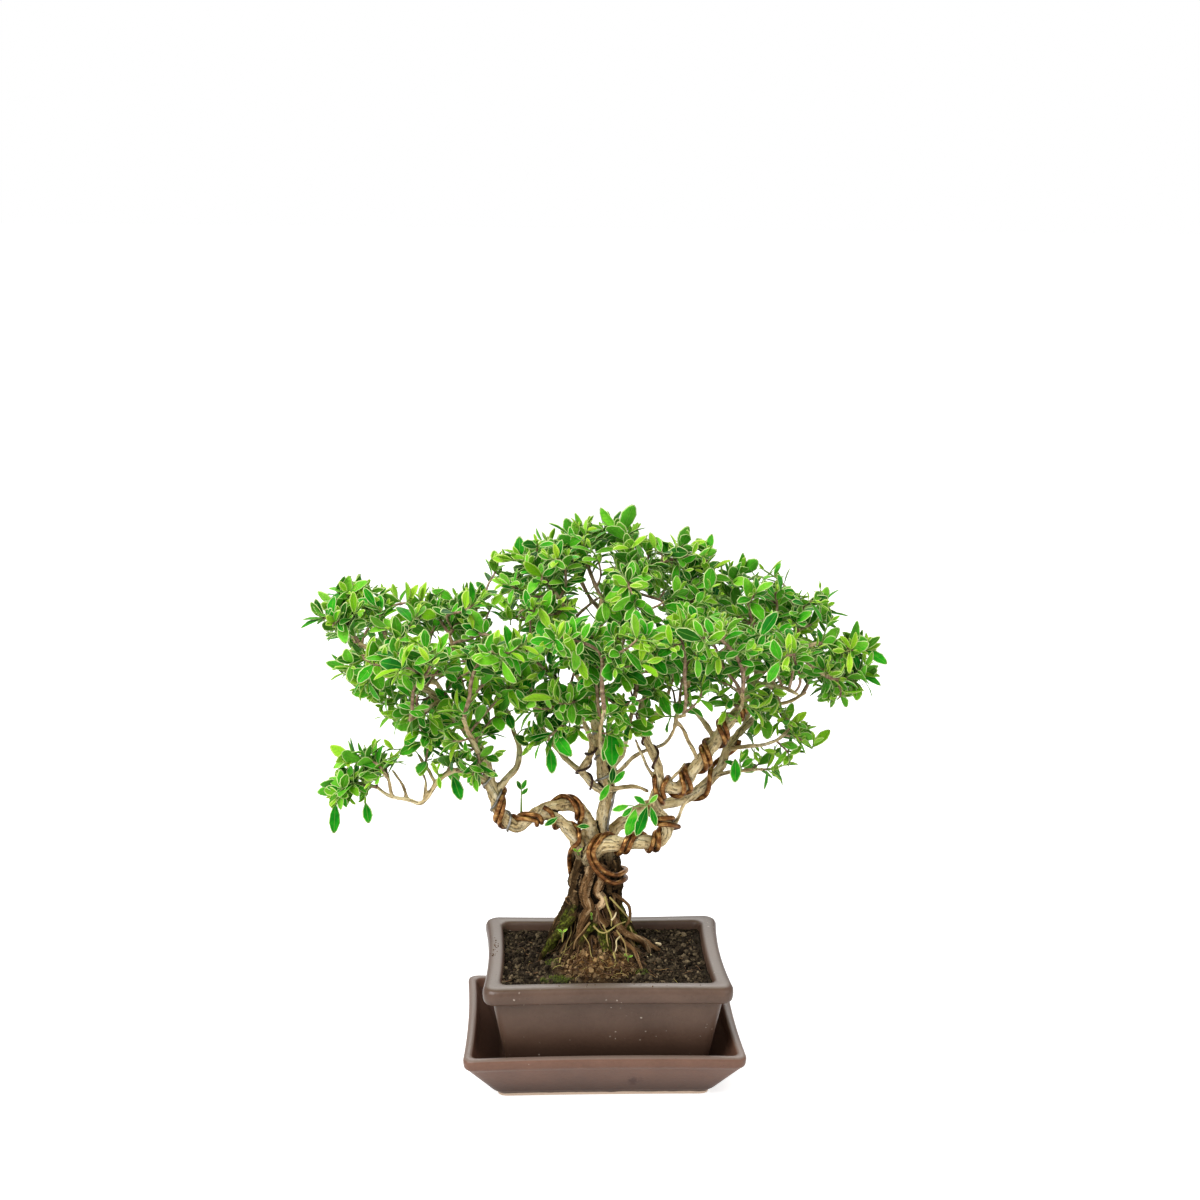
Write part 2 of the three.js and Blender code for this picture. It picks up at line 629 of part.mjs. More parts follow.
function addWire(name, material, wireRadius, points, steps, sides = 5) {
  wires.push({
    name,
    material,
    solid: toSolid(wireGeometry(points, wireRadius, steps, sides)),
    fat: toSolid(wireGeometry(points, wireRadius + gap, steps, sides)),
  });
  inTheWay.push(...roundsOf(points, [wireRadius, wireRadius]));
}

// lead is the stretch before the winding, whose points lie on the trunk
function addWinding(name, material, wireRadius, limb, options, lead = []) {
  const winding = windWire(limb.route.map(vector), { ...options, radius: limb.radii, wireRadius });
  const points = [...lead.map((point) => pushOff(vector(point), wireRadius)), ...winding.points];
  addWire(name, material, wireRadius, points, winding.steps + lead.length * 2, options.sides);
}

// The pair on the right branch comes from behind the trunk and crosses its front, one below the other
const pairGap = 2 * thickWire + 1;
const pairLead = [[8, 24, 117], [14, 17, 118], [16, 6, 121], [12, -6, 123], [4, -12, 125], [-4, -13.5, 129],
  [-10, -12, 136]];
const lowerLead = pairLead.map(([x, y, z]) => [x, y, z - 1.3 * pairGap]);
addWinding('wire_right_inner', materials.copper, thickWire, limbNamed('right_low'),
  { from: 0.1, to: 0.56, pitch: pairPitch, phase: 0.75 * turn },
  [...pairLead, [-11.5, -9, 143], [-9, -5, 150]]);
addWinding('wire_right_outer', materials.copper, thickWire, limbNamed('right_low'),
  { from: 0.08, to: 0.56, pitch: pairPitch, phase: 0.75 * turn + (pairGap / pairPitch) * turn },
  [...lowerLead, [-15, -9, 139], [-14.5, -5, 148]]);
addWinding('wire_left_arch', materials.copper, thickWire, limbNamed('left_arch'),
  { from: 0.1, to: 0.5, pitch: 22, phase: 1.6 });
addWinding('wire_left_prop', materials.copper, thickWire, limbNamed('left_prop'),
  { from: 0.3, to: 0.8, pitch: 18, phase: 0 });
addWinding('wire_silver_left', materials.silver, thinWire, limbNamed('left_arch'),
  { from: 0.34, to: 0.5, pitch: 15, phase: 5, stepsPerTurn: 6, sides: 4 });
addWinding('wire_silver_stem', materials.silver, thinWire, limbNamed('centre_stem'),
  { from: 0.2, to: 0.5, pitch: 14, phase: 0.5, stepsPerTurn: 6, sides: 4 });
addWinding('wire_dark_left', materials.darkWire, thinWire, limbNamed('centre_left'),
  { from: 0.12, to: 0.5, pitch: 14, phase: 0.5, stepsPerTurn: 6, sides: 4 });
addWinding('wire_dark_right', materials.darkWire, thinWire, limbNamed('junction_up'),
  { from: 0.1, to: 0.45, pitch: 16, phase: 0.5, stepsPerTurn: 6, sides: 4 });

// The grown tree as one solid, cut to the soil's surface and to the wires

let tree = limbTube(limbs[0]);
const taken = [];
for (const limb of limbs) {
  const solid = limbTube(limb);
  taken.push({ solid, box: boxOf(solid) });
  tree = tree.add(solid);
}
tree = tree.subtract(soilBody(gap));
tree = tree.add(rootPlug(0));
for (const wire of wires) {
  if (!tree.intersect(wire.solid).isEmpty()) {
    tree = tree.subtract(wire.fat);
  }
  taken.push({ solid: wire.solid, box: boxOf(wire.solid) });
}

function boxOf(solid) {
  const { min, max } = solid.boundingBox();
  return new THREE.Box3(vector(min), vector(max));
}

// Leafy shoots. Each is one closed body: a square twig whose side faces grow into leaves

function octahedron(base, tip, middle, half, wide, thick, grow) {
  const d = tip.clone().sub(base).normalize();
  const corners = [
    base.clone().addScaledVector(d, -grow),
    middle.clone().addScaledVector(wide, half + grow),
    middle.clone().addScaledVector(thick, leaf.thickness / 2 + grow),
    middle.clone().addScaledVector(wide, -half - grow),
    middle.clone().addScaledVector(thick, -leaf.thickness / 2 - grow),
    tip.clone().addScaledVector(d, grow),
  ];
  const positions = corners.flatMap((corner) => corner.toArray());
  const faces = [0, 2, 1, 0, 3, 2, 0, 4, 3, 0, 1, 4, 5, 1, 2, 5, 2, 3, 5, 3, 4, 5, 4, 1];
  return toSolid(indexedGeometry(positions, faces));
}

// Whether a solid is clear of all that is there and of the places kept for other shoots
function isFree(solid, shootNumber) {
  const box = boxOf(solid);
  return !taken.some((other) => other.keptFor !== shootNumber && other.box.intersectsBox(box)
    && !other.solid.intersect(solid).isEmpty());
}

class ShootMesh {
  constructor(number) {
    this.number = number;
    this.positions = [];
    this.faces = [];
    this.own = [];
  }

  vertex(point) {
    this.positions.push(point.x, point.y, point.z);
    return this.positions.length / 3 - 1;
  }

  quad(a, b, c, d) {
    this.faces.push(a, b, c, a, c, d);
  }

  // Four corners of the twig's section, anticlockwise seen from its tip
  ring(centre, wide, thick, half) {
    const corners = [[-1, -1], [1, -1], [1, 1], [-1, 1]];
    return corners.map(([s, t]) => this.vertex(centre.clone()
      .addScaledVector(wide, s * half).addScaledVector(thick, t * half)));
  }

  leafOn(quad, centre, out, wide, axis, size) {
    const rise = leaf.rise + size.rise;
    const d = out.clone().multiplyScalar(Math.cos(rise)).addScaledVector(axis, Math.sin(rise));
    const thick = axis.clone().multiplyScalar(Math.cos(rise)).addScaledVector(out, -Math.sin(rise));
    const length = leaf.length * size.scale;
    const half = (leaf.width * size.scale) / 2;
    const middle = centre.clone().addScaledVector(d, length * leaf.widest).addScaledVector(thick, leaf.arch);
    const tip = centre.clone().addScaledVector(d, length);
    const start = centre.clone().addScaledVector(d, shoot.joint);
    const probe = octahedron(start, tip, middle, half, wide, thick, shoot.clearance);
    if (!isFree(probe, this.number)) {
      return false;
    }
    this.own.push(octahedron(centre, tip, middle, half, wide, thick, 0));
    const belly = [
      middle.clone().addScaledVector(thick, -leaf.thickness / 2),
      middle.clone().addScaledVector(wide, half),
      middle.clone().addScaledVector(thick, leaf.thickness / 2),
      middle.clone().addScaledVector(wide, -half),
    ].map((point) => this.vertex(point));
    const point = this.vertex(tip);
    for (let i = 0; i < 4; i++) {
      const j = (i + 1) % 4;
      this.faces.push(quad[i], quad[j], belly[i]);
      this.faces.push(quad[j], belly[j], belly[i]);
      this.faces.push(belly[i], belly[j], point);
    }
    return true;
  }
}

function stretch(solid) {
  return { solid, box: boxOf(solid) };
}

function segmentSolid(start, end, wide, thick, half) {
  const mesh = new ShootMesh(0);
  const low = mesh.ring(start, wide, thick, half);
  const high = mesh.ring(end, wide, thick, half);
  mesh.quad(low[3], low[2], low[1], low[0]);
  mesh.quad(...high);
  for (let i = 0; i < 4; i++) {
    const j = (i + 1) % 4;
    mesh.quad(low[i], low[j], high[j], high[i]);
  }
  return toSolid(indexedGeometry(mesh.positions, mesh.faces));
}

// Grows one twig from an open ring; nodes carry pairs of leaves, or side twigs where branchy
function growTwig(mesh, ring, frame, plan, random) {
  let { centre, axis, wide, thick } = frame;
  let current = ring;
  for (let n = 0; n < plan.nodes; n++) {
    const half = shoot.half * plan.size;
    const rawLength = plan.internode * (n === 0 ? plan.first : 1) * (0.85 + 0.3 * random());
    const bend = new THREE.Vector3(random() - 0.5, random() - 0.5, 0.25 + random() * 0.2);
    const newAxis = axis.clone().addScaledVector(bend, 0.45).normalize();
    const newWide = wide.clone().addScaledVector(newAxis, -wide.dot(newAxis)).normalize();
    const newThick = newAxis.clone().cross(newWide);
    const end = centre.clone().addScaledVector(newAxis, rawLength);
    const clear = centre.clone().addScaledVector(newAxis, Math.min(shoot.joint, rawLength / 2));
    const probe = segmentSolid(clear, end.clone().addScaledVector(newAxis, 2), newWide, newThick,
      half + shoot.clearance);
    if (!isFree(probe, mesh.number)) {
      break;
    }
    taken.push(stretch(segmentSolid(centre, end, newWide, newThick, half)));
    [axis, wide, thick] = [newAxis, newWide, newThick];
    const low = mesh.ring(end, wide, thick, half);
    for (let i = 0; i < 4; i++) {
      const j = (i + 1) % 4;
      mesh.quad(current[i], current[j], low[j], low[i]);
    }
    centre = end.clone().addScaledVector(axis, shoot.node);
    const high = mesh.ring(centre, wide, thick, half);
    const middle = end.clone().addScaledVector(axis, shoot.node / 2);
    const outward = [thick.clone().negate(), wide.clone(), thick.clone(), wide.clone().negate()];
    const tangent = [wide.clone(), thick.clone(), wide.clone().negate(), thick.clone().negate()];
    const last = n === plan.nodes - 1;
    for (let i = 0; i < 4; i++) {
      const j = (i + 1) % 4;
      const face = [low[i], low[j], high[j], high[i]];
      const root = middle.clone().addScaledVector(outward[i], half);
      const isPair = (i + n) % 2 === 0;
      let done = false;
      if (plan.branches && !isPair && !last) {
        const d = outward[i].clone().multiplyScalar(0.8).addScaledVector(axis, 0.6).normalize();
        const b = tangent[i];
        const t = d.clone().cross(b);
        const from = root.clone().addScaledVector(d, shoot.joint);
        const to = root.clone().addScaledVector(d, shoot.sideInternode + 2);
        if (random() < plan.branches
          && isFree(segmentSolid(from, to, b, t, half + shoot.clearance), mesh.number)) {
          growTwig(mesh, face, { centre: root, axis: d, wide: b, thick: t },
            { nodes: 1, internode: shoot.sideInternode, first: 1, size: 0.85, branches: 0 }, random);
          done = true;
        }
      }
      if (!done && (isPair || last)) {
        const size = { scale: (0.8 + 0.35 * random()) * (last && !isPair ? 0.8 : 1), rise: 0.25 * random() };
        done = mesh.leafOn(face, root, outward[i], tangent[i], axis, size);
      }
      if (!done) {
        mesh.quad(...face);
      }
    }
    for (const solid of mesh.own) {
      taken.push(stretch(solid));
    }
    mesh.own = [];
    current = high;
  }
  const bud = mesh.vertex(centre.clone().addScaledVector(axis, shoot.bud));
  for (let i = 0; i < 4; i++) {
    mesh.faces.push(current[i], current[(i + 1) % 4], bud);
  }
}

// Repeatable numbers in 0..1
function sequence(seed) {
  let state = seed;
  return () => {
    state = (state * 16807) % 2147483647;
    return state / 2147483647;
  };
}

// Where a shoot starts: just off the end of its limb
function shootStart(limb) {
  const path = curveThrough(limb.route.map(vector));
  const axis = path.getTangentAt(1);
  const side = Math.abs(axis.z) > 0.9 ? new THREE.Vector3(1, 0, 0) : new THREE.Vector3(0, 0, 1);
  const wide = axis.clone().cross(side).normalize();
  const thick = axis.clone().cross(wide);
  const centre = path.getPointAt(1).addScaledVector(axis, gap);
  return { centre, axis, wide, thick };
}

function keepPlace(limb, number) {
  const { centre, axis, wide, thick } = shootStart(limb);
  const end = centre.clone().addScaledVector(axis, shoot.internode);
  const solid = segmentSolid(centre, end, wide, thick, shoot.half + shoot.clearance);
  taken.push({ ...stretch(solid), keptFor: number });
}

function makeShoot(limb, number, seed) {
  const frame = shootStart(limb);
  const mesh = new ShootMesh(number);
  const ring = mesh.ring(frame.centre, frame.wide, frame.thick, shoot.half);
  mesh.quad(ring[3], ring[2], ring[1], ring[0]);
  growTwig(mesh, ring, frame,
    { nodes: 3, internode: shoot.internode, first: 0.8, size: 1, branches: 0.5 }, sequence(seed));
  return mesh;
}

addPiece('drip_tray', makeTray(), materials.trayware);
addPiece('pot', toGeometry(makePot()), materials.stoneware);
addPiece('drain_net_left', toGeometry(makeNet(-pot.drainX)), materials.net);
addPiece('drain_net_right', toGeometry(makeNet(pot.drainX)), materials.net);

let ground = soilBody(0).subtract(rootPlug(gap));
for (const x of [-pot.drainX, pot.drainX]) {
  const pocket = new THREE.BoxGeometry(net.size + 2 * gap, net.size + 2 * gap, 2 * (net.thickness + gap));
  pocket.translate(x, 0, pot.base + pot.floorThickness + gap);
  ground = ground.subtract(toSolid(pocket));
}
addPiece('soil', toGeometry(ground), materials.soil);
for (const patch of mossPatches) {
  addPiece(patch.name, toGeometry(makeMoss(patch)), materials.moss);
}
addPiece('tree', toGeometry(tree), materials.bark);
for (const wire of wires) {
  addPiece(wire.name, toGeometry(wire.solid), wire.material);
}

const tips = limbs.filter((limb) => limb.tip);
tips.forEach((limb, i) => keepPlace(limb, i + 1));
tips.forEach((limb, i) => {
  const mesh = makeShoot(limb, i + 1, 1000 + 77 * i);
  addPiece(`leafy_shoot_${String(i + 1).padStart(2, '0')}`, indexedGeometry(mesh.positions, mesh.faces),
    materials.leaves);
});

export default part;
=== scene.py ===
"""Serissa bonsai in a brown stoneware pot on its drip tray, modelled round the CAD frame.

Sizes and places are in millimetres, and MM turns them into the frame's metres. Those of the lights
and the camera are in metres. The front of the tree faces -Y, and the tray stands at z = 0.
"""

import math

import bmesh
import bpy
import numpy as np
from mathutils import Matrix, Vector, noise


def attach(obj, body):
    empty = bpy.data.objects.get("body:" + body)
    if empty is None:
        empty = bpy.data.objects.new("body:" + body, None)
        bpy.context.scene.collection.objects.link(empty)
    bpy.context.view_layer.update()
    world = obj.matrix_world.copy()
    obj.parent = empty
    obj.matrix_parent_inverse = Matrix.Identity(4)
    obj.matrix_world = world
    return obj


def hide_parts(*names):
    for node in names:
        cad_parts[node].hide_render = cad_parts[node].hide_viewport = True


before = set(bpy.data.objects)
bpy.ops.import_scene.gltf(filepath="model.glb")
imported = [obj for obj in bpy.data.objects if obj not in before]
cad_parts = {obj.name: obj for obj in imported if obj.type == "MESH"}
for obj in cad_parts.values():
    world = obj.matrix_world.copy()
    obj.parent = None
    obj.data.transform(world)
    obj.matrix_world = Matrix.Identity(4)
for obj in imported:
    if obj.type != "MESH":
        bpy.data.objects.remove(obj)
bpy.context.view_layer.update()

bpy.ops.object.select_all(action="DESELECT")
shoot_nodes = sorted(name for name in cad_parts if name.startswith("leafy_shoot"))

MM = 0.001
FULL_TURN = 2 * math.pi
# Seeds of the random draws, so that each run is the same
NOISE_SEED, TRUNK_SEED, GRANULE_SEED, FIBRE_SEED = 7, 7, 3, 5
TARGET_SEED, GROWTH_SEED, LEAF_SEED = 21, 4, 8
noise.seed_set(NOISE_SEED)


# Driving sizes of the pot and the tray

POT_RIM = (75, 58.6)
POT_X = 1.8
POT_BASE = 9.6
POT_TOP = 76
POT_FLOOR = 6
DRAIN_X = 27
DRAIN_RADIUS = 6
DRILL_LENGTH = 30
FOOT_X, FOOT_Y = 49.5, 31.5
FOOT_SIZE = (11, 11, 3.8)
FOOT_MIDDLE = 8.2
FOOT_ROUNDING = 0.7
TRAY_RIM = (84.8, 62.4)
TRAY_TOP = 33
SMOOTH_BELOW = math.radians(40)

# Driving sizes of the trunk, the roots and the branches

TRUNK_X, TRUNK_Y = -4, 8
# How far from the trunk's middle thin roots start, and how much further in front
TRUNK_REACH, FRONT_BULGE = 13, 5.5
# Fused roots round the trunk, and their heights, distances from its middle and radii on the way down
STRANDS = 18
STRAND_HEIGHTS = (151, 140, 126, 112, 101, 88, 68)
STRAND_REACHES = (6.5, 10.5, 12, 11.6, 12, 16.5, 27)
STRAND_RADII = (2.4, 3.4, 3.6, 3.1, 2.6, 2.0, 1.2)
THIN_ROOTS = 34
ROOT_HAIRS = 90
# Limbs thicker than this get rounder tubes
THICK_LIMB = 2.5
TRUNK_VOXEL, BRANCH_VOXEL = 0.78, 0.82
TRUNK_RELIEF, BRANCH_RELIEF = 0.8, 0.4
# Old bark gives way to young tan bark over a fade that ends at these heights
TRUNK_YOUNG, BRANCH_YOUNG, YOUNG_FADE = 150, 146, 14
# The bark's noise runs along a limb in this direction, and starts this much further on the next limb
BARK_DIRECTION = np.array([[0.6, 0.5, 0.62]])
BARK_APART = 90.0
# The number that each kind of limb is counted on from; its number sets a limb's wander
ROOT_NUMBER, STAY_NUMBER, BOUGH_NUMBER, STRAND_NUMBER = 1, 20, 30, 60
THIN_ROOT_NUMBER, HAIR_NUMBER = 100, 200

# Driving sizes of the training wires

WIRE_CLEARANCE = 0.12
THICK_WIRE, THIN_WIRE = 1.5, 0.75
WIRE_STEP = 1.1
LIMB_STEPS = 400
SAMPLES_PER_TURN = 16
# The pair of wires on the right branch: mm per turn, mm between the two, and drop on the way there
PAIR_PITCH, PAIR_GAP, PAIR_DROP = 19, 4, 5.2

# Driving sizes of the soil and what lies on it

SOIL_HALF = (63, 46.6)
SOIL_LEVEL, SOIL_BOTTOM = 70, 60.0
SOIL_RINGS = 60
# The soil rises a little to the pot's front edge, and to a mound round the trunk
FRONT_RISE, FRONT_EDGE = 2, 46
MOUND_X, MOUND_Y = -3, -5
MOUND_RISE, MOUND_SPREAD = 15, 760
# The reddish fibrous patch in front of the trunk
FIBROUS_Y = -22
FIBROUS_HALF = (23, 19)
SOWN_X, SOWN_Y = 61.5, 44
GRANULES = 3400
LARGEST_GRANULE = 2.3
CHIP_SHARE, CHIP_GROWTH = 0.3, 1.7
SIDE_CRUMBS, FRONT_CRUMBS = 20, 10
FIBRES = 620
FIBRE_POINTS = 5

# Driving sizes of the leaves and the crown

LEAF_LENGTH = 17.0
LEAF_MARGIN = 0.95
LEAF_WIDEST = 1.2
LEAF_COLUMNS = 4
LEAF_ROWS = (0, 0.13, 0.36, 0.64, 0.89, 1)
# Width of the leaf's ends, as a share of the blade's
LEAF_END = 0.09
LEAF_THICKNESS = 0.28
SHORT_LEAF = 6
SPROUT_RADIUS, SPROUT_SLIM = 0.75, 0.8
CROWN_CENTRE = (-5, 5, 225)
TOWARDS_CAMERA = np.array([0.2, -1, 0.4])
TRIES_PER_PAD = 60
TIP_SPACING = 8.7
# Share of a bough's and of the left arch's length that has no twigs
BOUGH_BARE, ARCH_BARE = 0.35, 0.66
# The arch's twigs go with the shoot of this number, counted from 0
ARCH_OWNER = 8
START_EVERY = 6
TWIG_STEP = 4.0
TWIG_SIDES = 5
GROWTH_ROUNDS = 70
MOST_FORKS = 3
TIP_RADIUS = 0.5
TWIG_LIMIT = 1.45
# Nodes behind a tip that can carry its pairs of leaves, and nodes that can carry any
TIP_NODES, LEAFY_NODES = 4, 9
LOWER_PAIRS = 0.22
# A see-through gap sinks by this much for each millimetre back, a little more than a line of sight
SIGHT_DROP = 0.36
GAP_EDGE = 1.5

# Light and camera, in metres

SURROUND = 0.52
FLOOR_GLOW = 0.58
FLOOR_SIZE = 60
LIGHT_AIM = (0, 0, 0.18)
# Name, place, size and power
LIGHTS = [
    ("key", (-0.75, -0.75, 1.15), 0.9, 20.0),
    ("fill", (0.95, -0.8, 0.7), 1.0, 4.0),
    ("back", (0.1, 1.1, 1.2), 1.1, 12.0),
]
CAMERA_PLACE = (-0.050, -1.058, 0.533)
# Yaw, pitch and roll in degrees, then lens and sensor width in mm
CAMERA_ANGLES = (2.53, 12.47, 0.56)
CAMERA_LENS, CAMERA_SENSOR = 54.72, 36


# Shader helpers

def feed(tree, node, inputs):
    """Gives a node's inputs plain values, or links them to other nodes."""
    for key, value in inputs.items():
        if isinstance(value, bpy.types.NodeSocket):
            tree.links.new(value, node.inputs[key])
        else:
            node.inputs[key].default_value = value


def put(tree, kind, inputs, **settings):
    """Adds a shader node, with values or links for its inputs."""
    node = tree.nodes.new("ShaderNode" + kind)
    for name, value in settings.items():
        setattr(node, name, value)
    feed(tree, node, inputs)
    return node


def colour(shade):
    """Linear colour from the eight-bit values that a picture shows; a link stays as it is."""
    if isinstance(shade, bpy.types.NodeSocket):
        return shade
    parts = [value / 255 for value in shade]
    linear = [v / 12.92 if v <= 0.04045 else ((v + 0.055) / 1.055) ** 2.4 for v in parts]
    return (*linear, 1.0)


def ramp(tree, value, stops):
    """Colour ramp through (place, colour) stops."""
    node = put(tree, "ValToRGB", {"Fac": value})
    steps = node.color_ramp.elements
    while len(steps) < len(stops):
        steps.new(0.5)
    for step, (place, shade) in zip(steps, stops):
        step.position = place
        step.color = colour(shade)
    return node.outputs["Color"]


def mixed(tree, share, first, second):
    """Two colours mixed by a share from 0 to 1."""
    inputs = {0: share, 6: colour(first), 7: colour(second)}
    return put(tree, "Mix", inputs, data_type="RGBA").outputs[2]


def band(tree, value, low, high):
    """0 where value is at low, 1 where it is at high, smooth between."""
    inputs = {"Value": value, "From Min": low, "From Max": high}
    return put(tree, "MapRange", inputs, interpolation_type="SMOOTHSTEP").outputs["Result"]


def worked(tree, operation, value):
    """One value worked out from one."""
    return put(tree, "Math", {0: value}, operation=operation).outputs["Value"]


def combined(tree, operation, first, second):
    """One value worked out from two."""
    return put(tree, "Math", {0: first, 1: second}, operation=operation).outputs["Value"]


def scaled(tree, value, factor, shift=0.0):
    """A value times a factor, plus a shift."""
    inputs = {0: value, 1: factor, 2: shift}
    return put(tree, "Math", inputs, operation="MULTIPLY_ADD").outputs["Value"]


def cloud(tree, place, scale, detail=3.0, rough=0.55):
    """Noise value at a place."""
    inputs = {"Vector": place, "Scale": scale, "Detail": detail, "Roughness": rough}
    return put(tree, "TexNoise", inputs).outputs["Fac"]


def cells(tree, place, scale, channel):
    """Distance from the nearest of scattered points, and a chance value of that point."""
    node = put(tree, "TexVoronoi", {"Vector": place, "Scale": scale, "Randomness": 1.0})
    chance = put(tree, "SeparateColor", {"Color": node.outputs["Color"]}).outputs[channel]
    return node.outputs["Distance"], chance


def attribute(tree, name, output="Fac"):
    """Values that a piece's mesh holds at its points."""
    return put(tree, "Attribute", {}, attribute_name=name).outputs[output]


def object_place(tree):
    """Place on the piece, in metres."""
    return put(tree, "TexCoord", {}).outputs["Object"]


def axes_of(tree, vector):
    """The X, Y and Z of a vector."""
    return put(tree, "SeparateXYZ", {"Vector": vector}).outputs


def grouped(tree, group, inputs):
    """A shader node group placed in a material, and its outputs."""
    return put(tree, "Group", inputs, node_tree=group).outputs


def new_material(name):
    """An empty material with its Principled shader."""
    material = bpy.data.materials.new(name)
    material.use_nodes = True
    tree = material.node_tree
    return material, tree, tree.nodes["Principled BSDF"]


def finish_surface(tree, shader, base, rough, height, depth, shine=0.5):
    """Gives a Principled shader its colour, roughness, relief (depth in mm) and shine."""
    bump = put(tree, "Bump", {"Height": height, "Strength": 1.0, "Distance": depth * MM})
    feed(tree, shader, {"Base Color": base, "Roughness": rough, "Specular IOR Level": shine,
                        "Normal": bump.outputs["Normal"]})


def new_group(name, inputs, outputs):
    """An empty shader node group, the values that go into it and the node that takes its results."""
    group = bpy.data.node_groups.new(name, "ShaderNodeTree")
    for label, kind in inputs:
        group.interface.new_socket(label, in_out="INPUT", socket_type="NodeSocket" + kind)
    for label in outputs:
        group.interface.new_socket(label, in_out="OUTPUT", socket_type="NodeSocketFloat")
    entry = group.nodes.new("NodeGroupInput").outputs
    return group, entry, group.nodes.new("NodeGroupOutput")


# Shared shader effects

def make_fired_clay():
    """Mottling, pale mineral specks, dark pinholes and fine relief of satin stoneware."""
    inputs = [("Place", "Vector"), ("Pale specks", "Float")]
    group, entry, result = new_group("fired_clay", inputs, ["Mottle", "Specks", "Pits", "Height"])
    place = entry["Place"]
    broad = cloud(group, place, 35.0, 4.0, 0.6)
    fine = cloud(group, place, 420.0, 3.0, 0.6)
    distance, chance = cells(group, place, 330.0, "Red")
    dot = band(group, combined(group, "ADD", distance, fine), 0.66, 0.52)
    chosen = combined(group, "LESS_THAN", chance, entry["Pale specks"])
    flock = band(group, cloud(group, place, 48.0, 2.0, 0.5), 0.46, 0.56)
    distance, chance = cells(group, place, 520.0, "Green")
    pit = band(group, distance, 0.22, 0.08)
    hole = combined(group, "MULTIPLY", pit, combined(group, "LESS_THAN", chance, 0.16))
    feed(group, result, {
        "Mottle": combined(group, "ADD", scaled(group, fine, 0.3), scaled(group, broad, 0.7)),
        "Specks": combined(group, "MULTIPLY", combined(group, "MULTIPLY", dot, chosen), flock),
        "Pits": hole,
        "Height": combined(group, "SUBTRACT", fine, hole)})
    return group


def make_bark_grain():
    """Fibrous plates, fine cracks and small dark specks that run along a limb."""
    group, entry, result = new_group(
        "bark_grain", [("Place", "Vector")], ["Plates", "Cracks", "Specks", "Height"])
    place = entry["Place"]
    plates = cloud(group, place, 260.0, 5.0, 0.62)
    fibre = cloud(group, place, 900.0, 4.0, 0.6)
    crack = band(group, fibre, 0.46, 0.36)
    distance, chance = cells(group, place, 620.0, "Red")
    dot = band(group, distance, 0.36, 0.18)
    feed(group, result, {
        "Plates": plates,
        "Cracks": crack,
        "Specks": combined(group, "MULTIPLY", dot, combined(group, "LESS_THAN", chance, 0.3)),
        "Height": combined(group, "SUBTRACT", combined(group, "ADD", plates, fibre), crack)})
    return group


# Materials

def make_stoneware(name, shades, low, high, rim_top, speck_share, smudge=None):
    """Satin brown stoneware, with painted shade downwards from high to low and a painted grey sheen on
    top of the rim.
    """
    material, tree, shader = new_material(name)
    place = object_place(tree)
    clay = grouped(tree, fired_clay, {"Place": place, "Pale specks": speck_share})
    shade_and_pit_brown = (58, 40, 30)
    base = ramp(tree, clay["Mottle"], list(zip((0.25, 0.5, 0.78), shades)))
    height = axes_of(tree, place)["Z"]
    # Painted shade: the clay darkens downwards from high to low, towards the dark brown that also fills
    # the pits
    lower = band(tree, height, high * MM, low * MM)
    base = mixed(tree, scaled(tree, lower, 0.8), base, shade_and_pit_brown)
    # Painted sheen: the flat top of the rim is made greyer and lighter, as light from above would show
    # it
    top = band(tree, height, (rim_top - 1.0) * MM, (rim_top - 0.2) * MM)
    base = mixed(tree, scaled(tree, top, 0.55), base, (132, 122, 113))
    if smudge:
        centre, reach, shade = smudge
        middle = [value * MM for value in centre]
        away = put(tree, "VectorMath", {0: place, 1: middle}, operation="DISTANCE").outputs["Value"]
        ragged = cloud(tree, place, 260.0, 4.0, 0.7)
        away = combined(tree, "ADD", away, scaled(tree, ragged, 0.02))
        spot = band(tree, away, (reach + 10) * MM, (reach + 5) * MM)
        base = mixed(tree, scaled(tree, spot, 0.85), base, shade)
    base = mixed(tree, scaled(tree, clay["Pits"], 0.5), base, shade_and_pit_brown)
    base = mixed(tree, scaled(tree, clay["Specks"], 0.6), base, (196, 180, 164))
    rough = scaled(tree, clay["Mottle"], 0.2, 0.26)
    finish_surface(tree, shader, base, rough, clay["Height"], 0.12, shine=0.42)
    return material, tree, shader


def make_pot_clay():
    """Grey-brown clay of the pot."""
    shades = ((76, 56, 43), (91, 69, 56), (104, 80, 65))
    return make_stoneware("pot_stoneware", shades, 18, 64, POT_TOP, 0.24)[0]


def make_tray_clay():
    """Redder clay than the pot's, with painted shade inside and a pale line round the foot."""
    shades = ((98, 68, 53), (113, 80, 64), (126, 91, 74))
    smudge = ((17, -50, 13), 6, (66, 36, 25))
    material, tree, shader = make_stoneware("tray_stoneware", shades, 0, 24, TRAY_TOP, 0.03, smudge)
    place = object_place(tree)
    height = axes_of(tree, place)["Z"]
    wander = scaled(tree, cloud(tree, place, 90.0), 0.0012)
    bare = band(tree, combined(tree, "ADD", height, wander), 2.9 * MM, 2.3 * MM)
    glazed = shader.inputs["Base Color"].links[0].from_socket
    # Painted shade down the inside of the tray
    inside = scaled(tree, attribute(tree, "inside"), 0.5)
    base = mixed(tree, inside, glazed, (40, 26, 19))
    base = mixed(tree, bare, base, (224, 199, 176))
    tree.links.new(base, shader.inputs["Base Color"])
    return material


